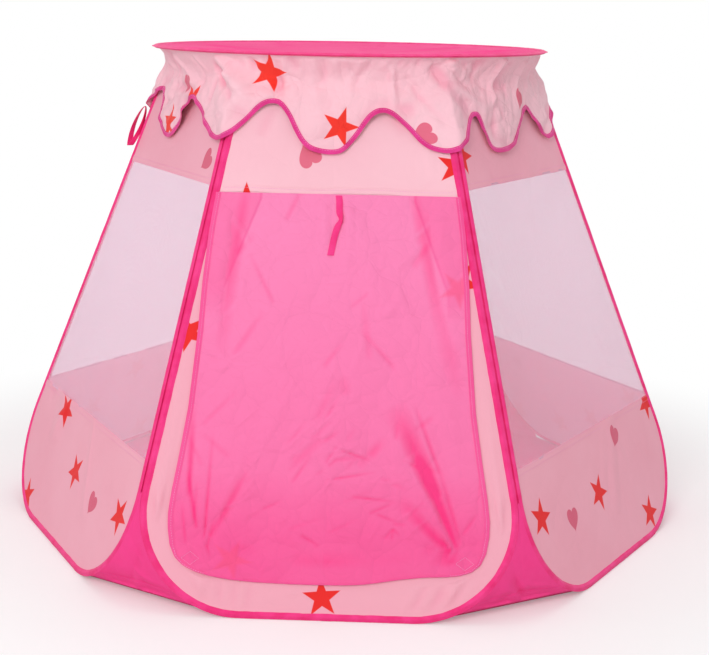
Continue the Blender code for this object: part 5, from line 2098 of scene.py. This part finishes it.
class Studio:
    """White floor, white background and plain soft light."""

    ambient = 0.56
    lamps = (
        Lamp("front_box", (-0.8, -3.5, 2.2), (0, 0, 0.45), 1.3, 1.3, 50.0),
        Lamp("right_box", (3.4, -1.6, 1.9), (0, 0, 0.4), 1.6, 1.6, 5.0),
        Lamp("left_box", (-3.4, -0.9, 1.9), (0, 0, 0.4), 1.6, 1.6, 5.0),
        Lamp("top_box", (0.2, 0.6, 3.6), (0, 0, 0.4), 1.8, 1.8, 20.0),
        Lamp("inner_glow", (0.0, -0.30, 0.56), (0, 0.55, 0.10), 0.3, 0.3, 1.8),
    )

    def build(self) -> None:
        """Set the world, the lamps and the floor."""
        scene = bpy.context.scene
        scene.view_settings.view_transform = "Standard"
        world = bpy.data.worlds.new("studio")
        scene.world = world
        world.use_nodes = True
        desk = NodeDesk(world.node_tree)
        world.node_tree.nodes.clear()
        path = desk.put("ShaderNodeLightPath")
        seen = desk.math("MAXIMUM", desk.math("MAXIMUM", path.outputs["Is Camera Ray"],
                                              path.outputs["Is Glossy Ray"]),
                         path.outputs["Is Transmission Ray"])
        plain = desk.put("ShaderNodeBackground", {0: (1, 1, 1, 1), 1: self.ambient})
        white = desk.put("ShaderNodeBackground", {0: (1, 1, 1, 1), 1: 1.0})
        mixed = desk.put("ShaderNodeMixShader", {0: seen, 1: plain.outputs[0], 2: white.outputs[0]})
        desk.put("ShaderNodeOutputWorld", {0: mixed.outputs[0]})
        for lamp in self.lamps:
            lamp.build()
        self.lay_floor()

    @staticmethod
    def lay_floor() -> None:
        """White floor that keeps the tent's shadow and fades into the background."""
        reach = 9.0
        made = mesh_object("studio_floor", np.array([[-reach, -reach, 0], [reach, -reach, 0],
                                                     [reach, reach, 0], [-reach, reach, 0]]) -
                           np.array([0, 0, 0.0004]), [[0, 1, 2, 3]],
                           bpy.data.materials.new("studio_floor_white"))
        material = made.data.materials[0]
        material.use_nodes = True
        desk = NodeDesk(material.node_tree)
        shader = material.node_tree.nodes["Principled BSDF"]
        shader.inputs["Base Color"].default_value = (0.80, 0.79, 0.79, 1)
        shader.inputs["Roughness"].default_value = 0.9
        path = desk.put("ShaderNodeLightPath")
        glow = desk.put("ShaderNodeEmission", {"Color": (1, 1, 1, 1)})
        desk.tree.links.new(desk.math("MULTIPLY", path.outputs["Is Camera Ray"], 0.22),
                            glow.inputs["Strength"])
        lit = desk.put("ShaderNodeAddShader", {0: shader.outputs[0], 1: glow.outputs[0]})
        place = desk.put("ShaderNodeTexCoord").outputs["Object"]
        far = desk.put("ShaderNodeVectorMath", {0: place}, operation="LENGTH")
        fade = desk.put("ShaderNodeMapRange", {"Value": far.outputs["Value"], "From Min": 0.75,
                                               "From Max": 1.35}, interpolation_type="SMOOTHSTEP")
        clear = desk.put("ShaderNodeEmission", {"Color": (1, 1, 1, 1)})
        desk.tree.links.new(path.outputs["Is Camera Ray"], clear.inputs["Strength"])
        mixed = desk.put("ShaderNodeMixShader", {0: desk.math(
            "MULTIPLY", fade.outputs[0], path.outputs["Is Camera Ray"]), 1: lit.outputs[0],
            2: clear.outputs[0]})
        sink = material.node_tree.nodes["Material Output"]
        desk.tree.links.new(mixed.outputs[0], sink.inputs[0])


PANEL_STEPS = {"front": 0, "front_left": -1, "front_right": 1, "back_left": -2, "back_right": 2,
               "back": 3}


def print_layout() -> dict[str, list[Mark]]:
    """Where the stars and hearts are printed on each cloth.

    Returns:
        Panel name, or crown, to its marks.
    """
    star, heart = Ink.STAR, Ink.HEART
    layout = {
        "front": [Mark(star, 0.197, 0.757, turn=-0.17), Mark(star, -0.154, 0.688, turn=-0.35),
                  Mark(star, -0.243, 0.466, turn=0.52), Mark(star, -0.007, 0.036, 0.033, -0.40),
                  Mark(star, 0.207, 0.560, 0.038, 0.2), Mark(heart, 0.277, 0.410, 0.022, 0.25),
                  Mark(star, -0.152, 0.092, 0.036, 0.0), Mark(heart, -0.053, 0.772, 0.022, 2.6)],
        "front_left": [Mark(star, -0.130, 0.224, turn=0.1), Mark(star, 0.004, 0.141, turn=0.3),
                       Mark(star, -0.200, 0.030, turn=0.6), Mark(star, 0.253, 0.138, turn=0.1),
                       Mark(heart, 0.124, 0.116, 0.022, 0.3), Mark(heart, 0.152, 0.752, 0.022, 0.8)],
        "front_right": [Mark(star, -0.021, 0.135, turn=0.2), Mark(star, -0.250, 0.155, turn=0.0),
                        Mark(star, 0.275, 0.235, turn=0.4), Mark(star, 0.165, 0.043, turn=0.1),
                        Mark(heart, 0.097, 0.209, 0.022, 0.5), Mark(heart, -0.142, 0.119, 0.022, 0.1),
                        Mark(star, -0.190, 0.775, turn=0.1)],
        "crown": [Mark(star, -0.134, 0.865, turn=0.0), Mark(star, 0.000, 0.777, turn=0.0),
                  Mark(star, -0.425, 0.762, turn=0.9), Mark(star, -0.335, 0.806, turn=0.3),
                  Mark(heart, -0.368, 0.834, 0.018, 0.0), Mark(heart, 0.141, 0.766, 0.020, 1.2),
                  Mark(heart, 0.422, 0.814, 0.022, 0.4)],
    }
    layout["back_left"] = [Mark(star, 0.128, 0.132, turn=0.2), Mark(star, 0.010, 0.205, turn=0.5),
                           Mark(star, -0.060, 0.030, turn=0.1), Mark(heart, -0.190, 0.140, 0.022, 0.2),
                           Mark(star, 0.245, 0.120, turn=0.7), Mark(star, 0.060, 0.790, turn=0.2),
                           Mark(heart, -0.120, 0.760, 0.022, 1.0)]
    layout["back_right"] = [Mark(star, -0.071, 0.123, turn=0.4), Mark(star, 0.064, 0.075, turn=0.1),
                            Mark(star, -0.231, 0.215, turn=0.2), Mark(heart, 0.180, 0.190, 0.022, 0.4),
                            Mark(star, 0.230, 0.060, turn=0.3), Mark(heart, 0.100, 0.780, 0.022, 0.3),
                            Mark(star, -0.100, 0.770, turn=0.6)]
    layout["back"] = [Mark(star, -0.200, 0.130, turn=0.2), Mark(star, 0.020, 0.190, turn=0.1),
                      Mark(star, 0.210, 0.090, turn=0.5), Mark(heart, -0.080, 0.070, 0.022, 0.1),
                      Mark(heart, 0.120, 0.200, 0.022, 0.7), Mark(star, 0.080, 0.780, turn=0.2),
                      Mark(heart, -0.090, 0.770, 0.022, 0.5)]
    chance = np.random.default_rng(77)
    for index in range(13):
        ink = star if index % 3 else heart
        place = 0.60 + 0.088 * index
        around = place if place < math.pi * SIZES.hoop_radius else place - 2 * math.pi * SIZES.hoop_radius
        layout["crown"].append(Mark(ink, around, 0.780 + 0.09 * chance.uniform(), 0.034 if index % 3 else
                                    0.022, chance.uniform(0, 1.2)))
    return layout


def main() -> None:
    """Dress the tent, one sub-assembly after another."""
    logging.basicConfig(level=logging.INFO, format="%(name)s: %(message)s")
    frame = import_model()
    finishes, threader = Finishes(), Threader()
    layout = print_layout()
    places = {}
    for name, step in PANEL_STEPS.items():
        gaps = {"back": (SIZES.open_seam_gap, SIZES.seam_gap),
                "back_right": (SIZES.seam_gap, SIZES.open_seam_gap)}
        places[name] = PanelPlace(step, *gaps.get(name, (SIZES.seam_gap, SIZES.seam_gap)))
    for index, (name, place) in enumerate(places.items()):
        if name == "front":
            door = DoorDress(finishes, threader, name, place, layout[name], seed=index)
            door.bind()
            door.hang_surround()
            door.hang_flap()
        else:
            panel = PanelDress(finishes, threader, name, place, layout[name], seed=index * 7)
            panel.bind()
            panel.hang_cloth()
    crown = CrownDress(finishes, threader)
    crown.bind_hoop()
    crown.lay_roof()
    crown.hang_crown(layout["crown"])
    ground = GroundDress(finishes, threader, places)
    ground.lay_floor()
    for name, left, right, body, other in (
            ("gusset_front_right", "front", "front_right", "front_panel", "front_right_panel"),
            ("gusset_right", "front_right", "back_right", "front_right_panel", "back_right_panel"),
            ("gusset_back_right", "back_right", "back", "back_right_panel", None),
            ("gusset_back_left", "back", "back_left", "back_panel", "back_left_panel"),
            ("gusset_left", "back_left", "front_left", "back_left_panel", "front_left_panel"),
            ("gusset_front_left", "front_left", "front", "front_left_panel", "front_panel")):
        ground.sew_gusset(name, places[left], places[right], body, other)
        if other is not None:
            ground.join_seam(left, right)
    ground.hang_ribbon()
    for name, node in frame["nodes"].items():
        if not node.hide_render:
            node.data.materials.clear()
            node.data.materials.append(finishes.steel)
            LOG.info("%s keeps its solid, in drawn steel", name)
    Studio().build()
    Camera().build()


if __name__ == "__main__":
    main()
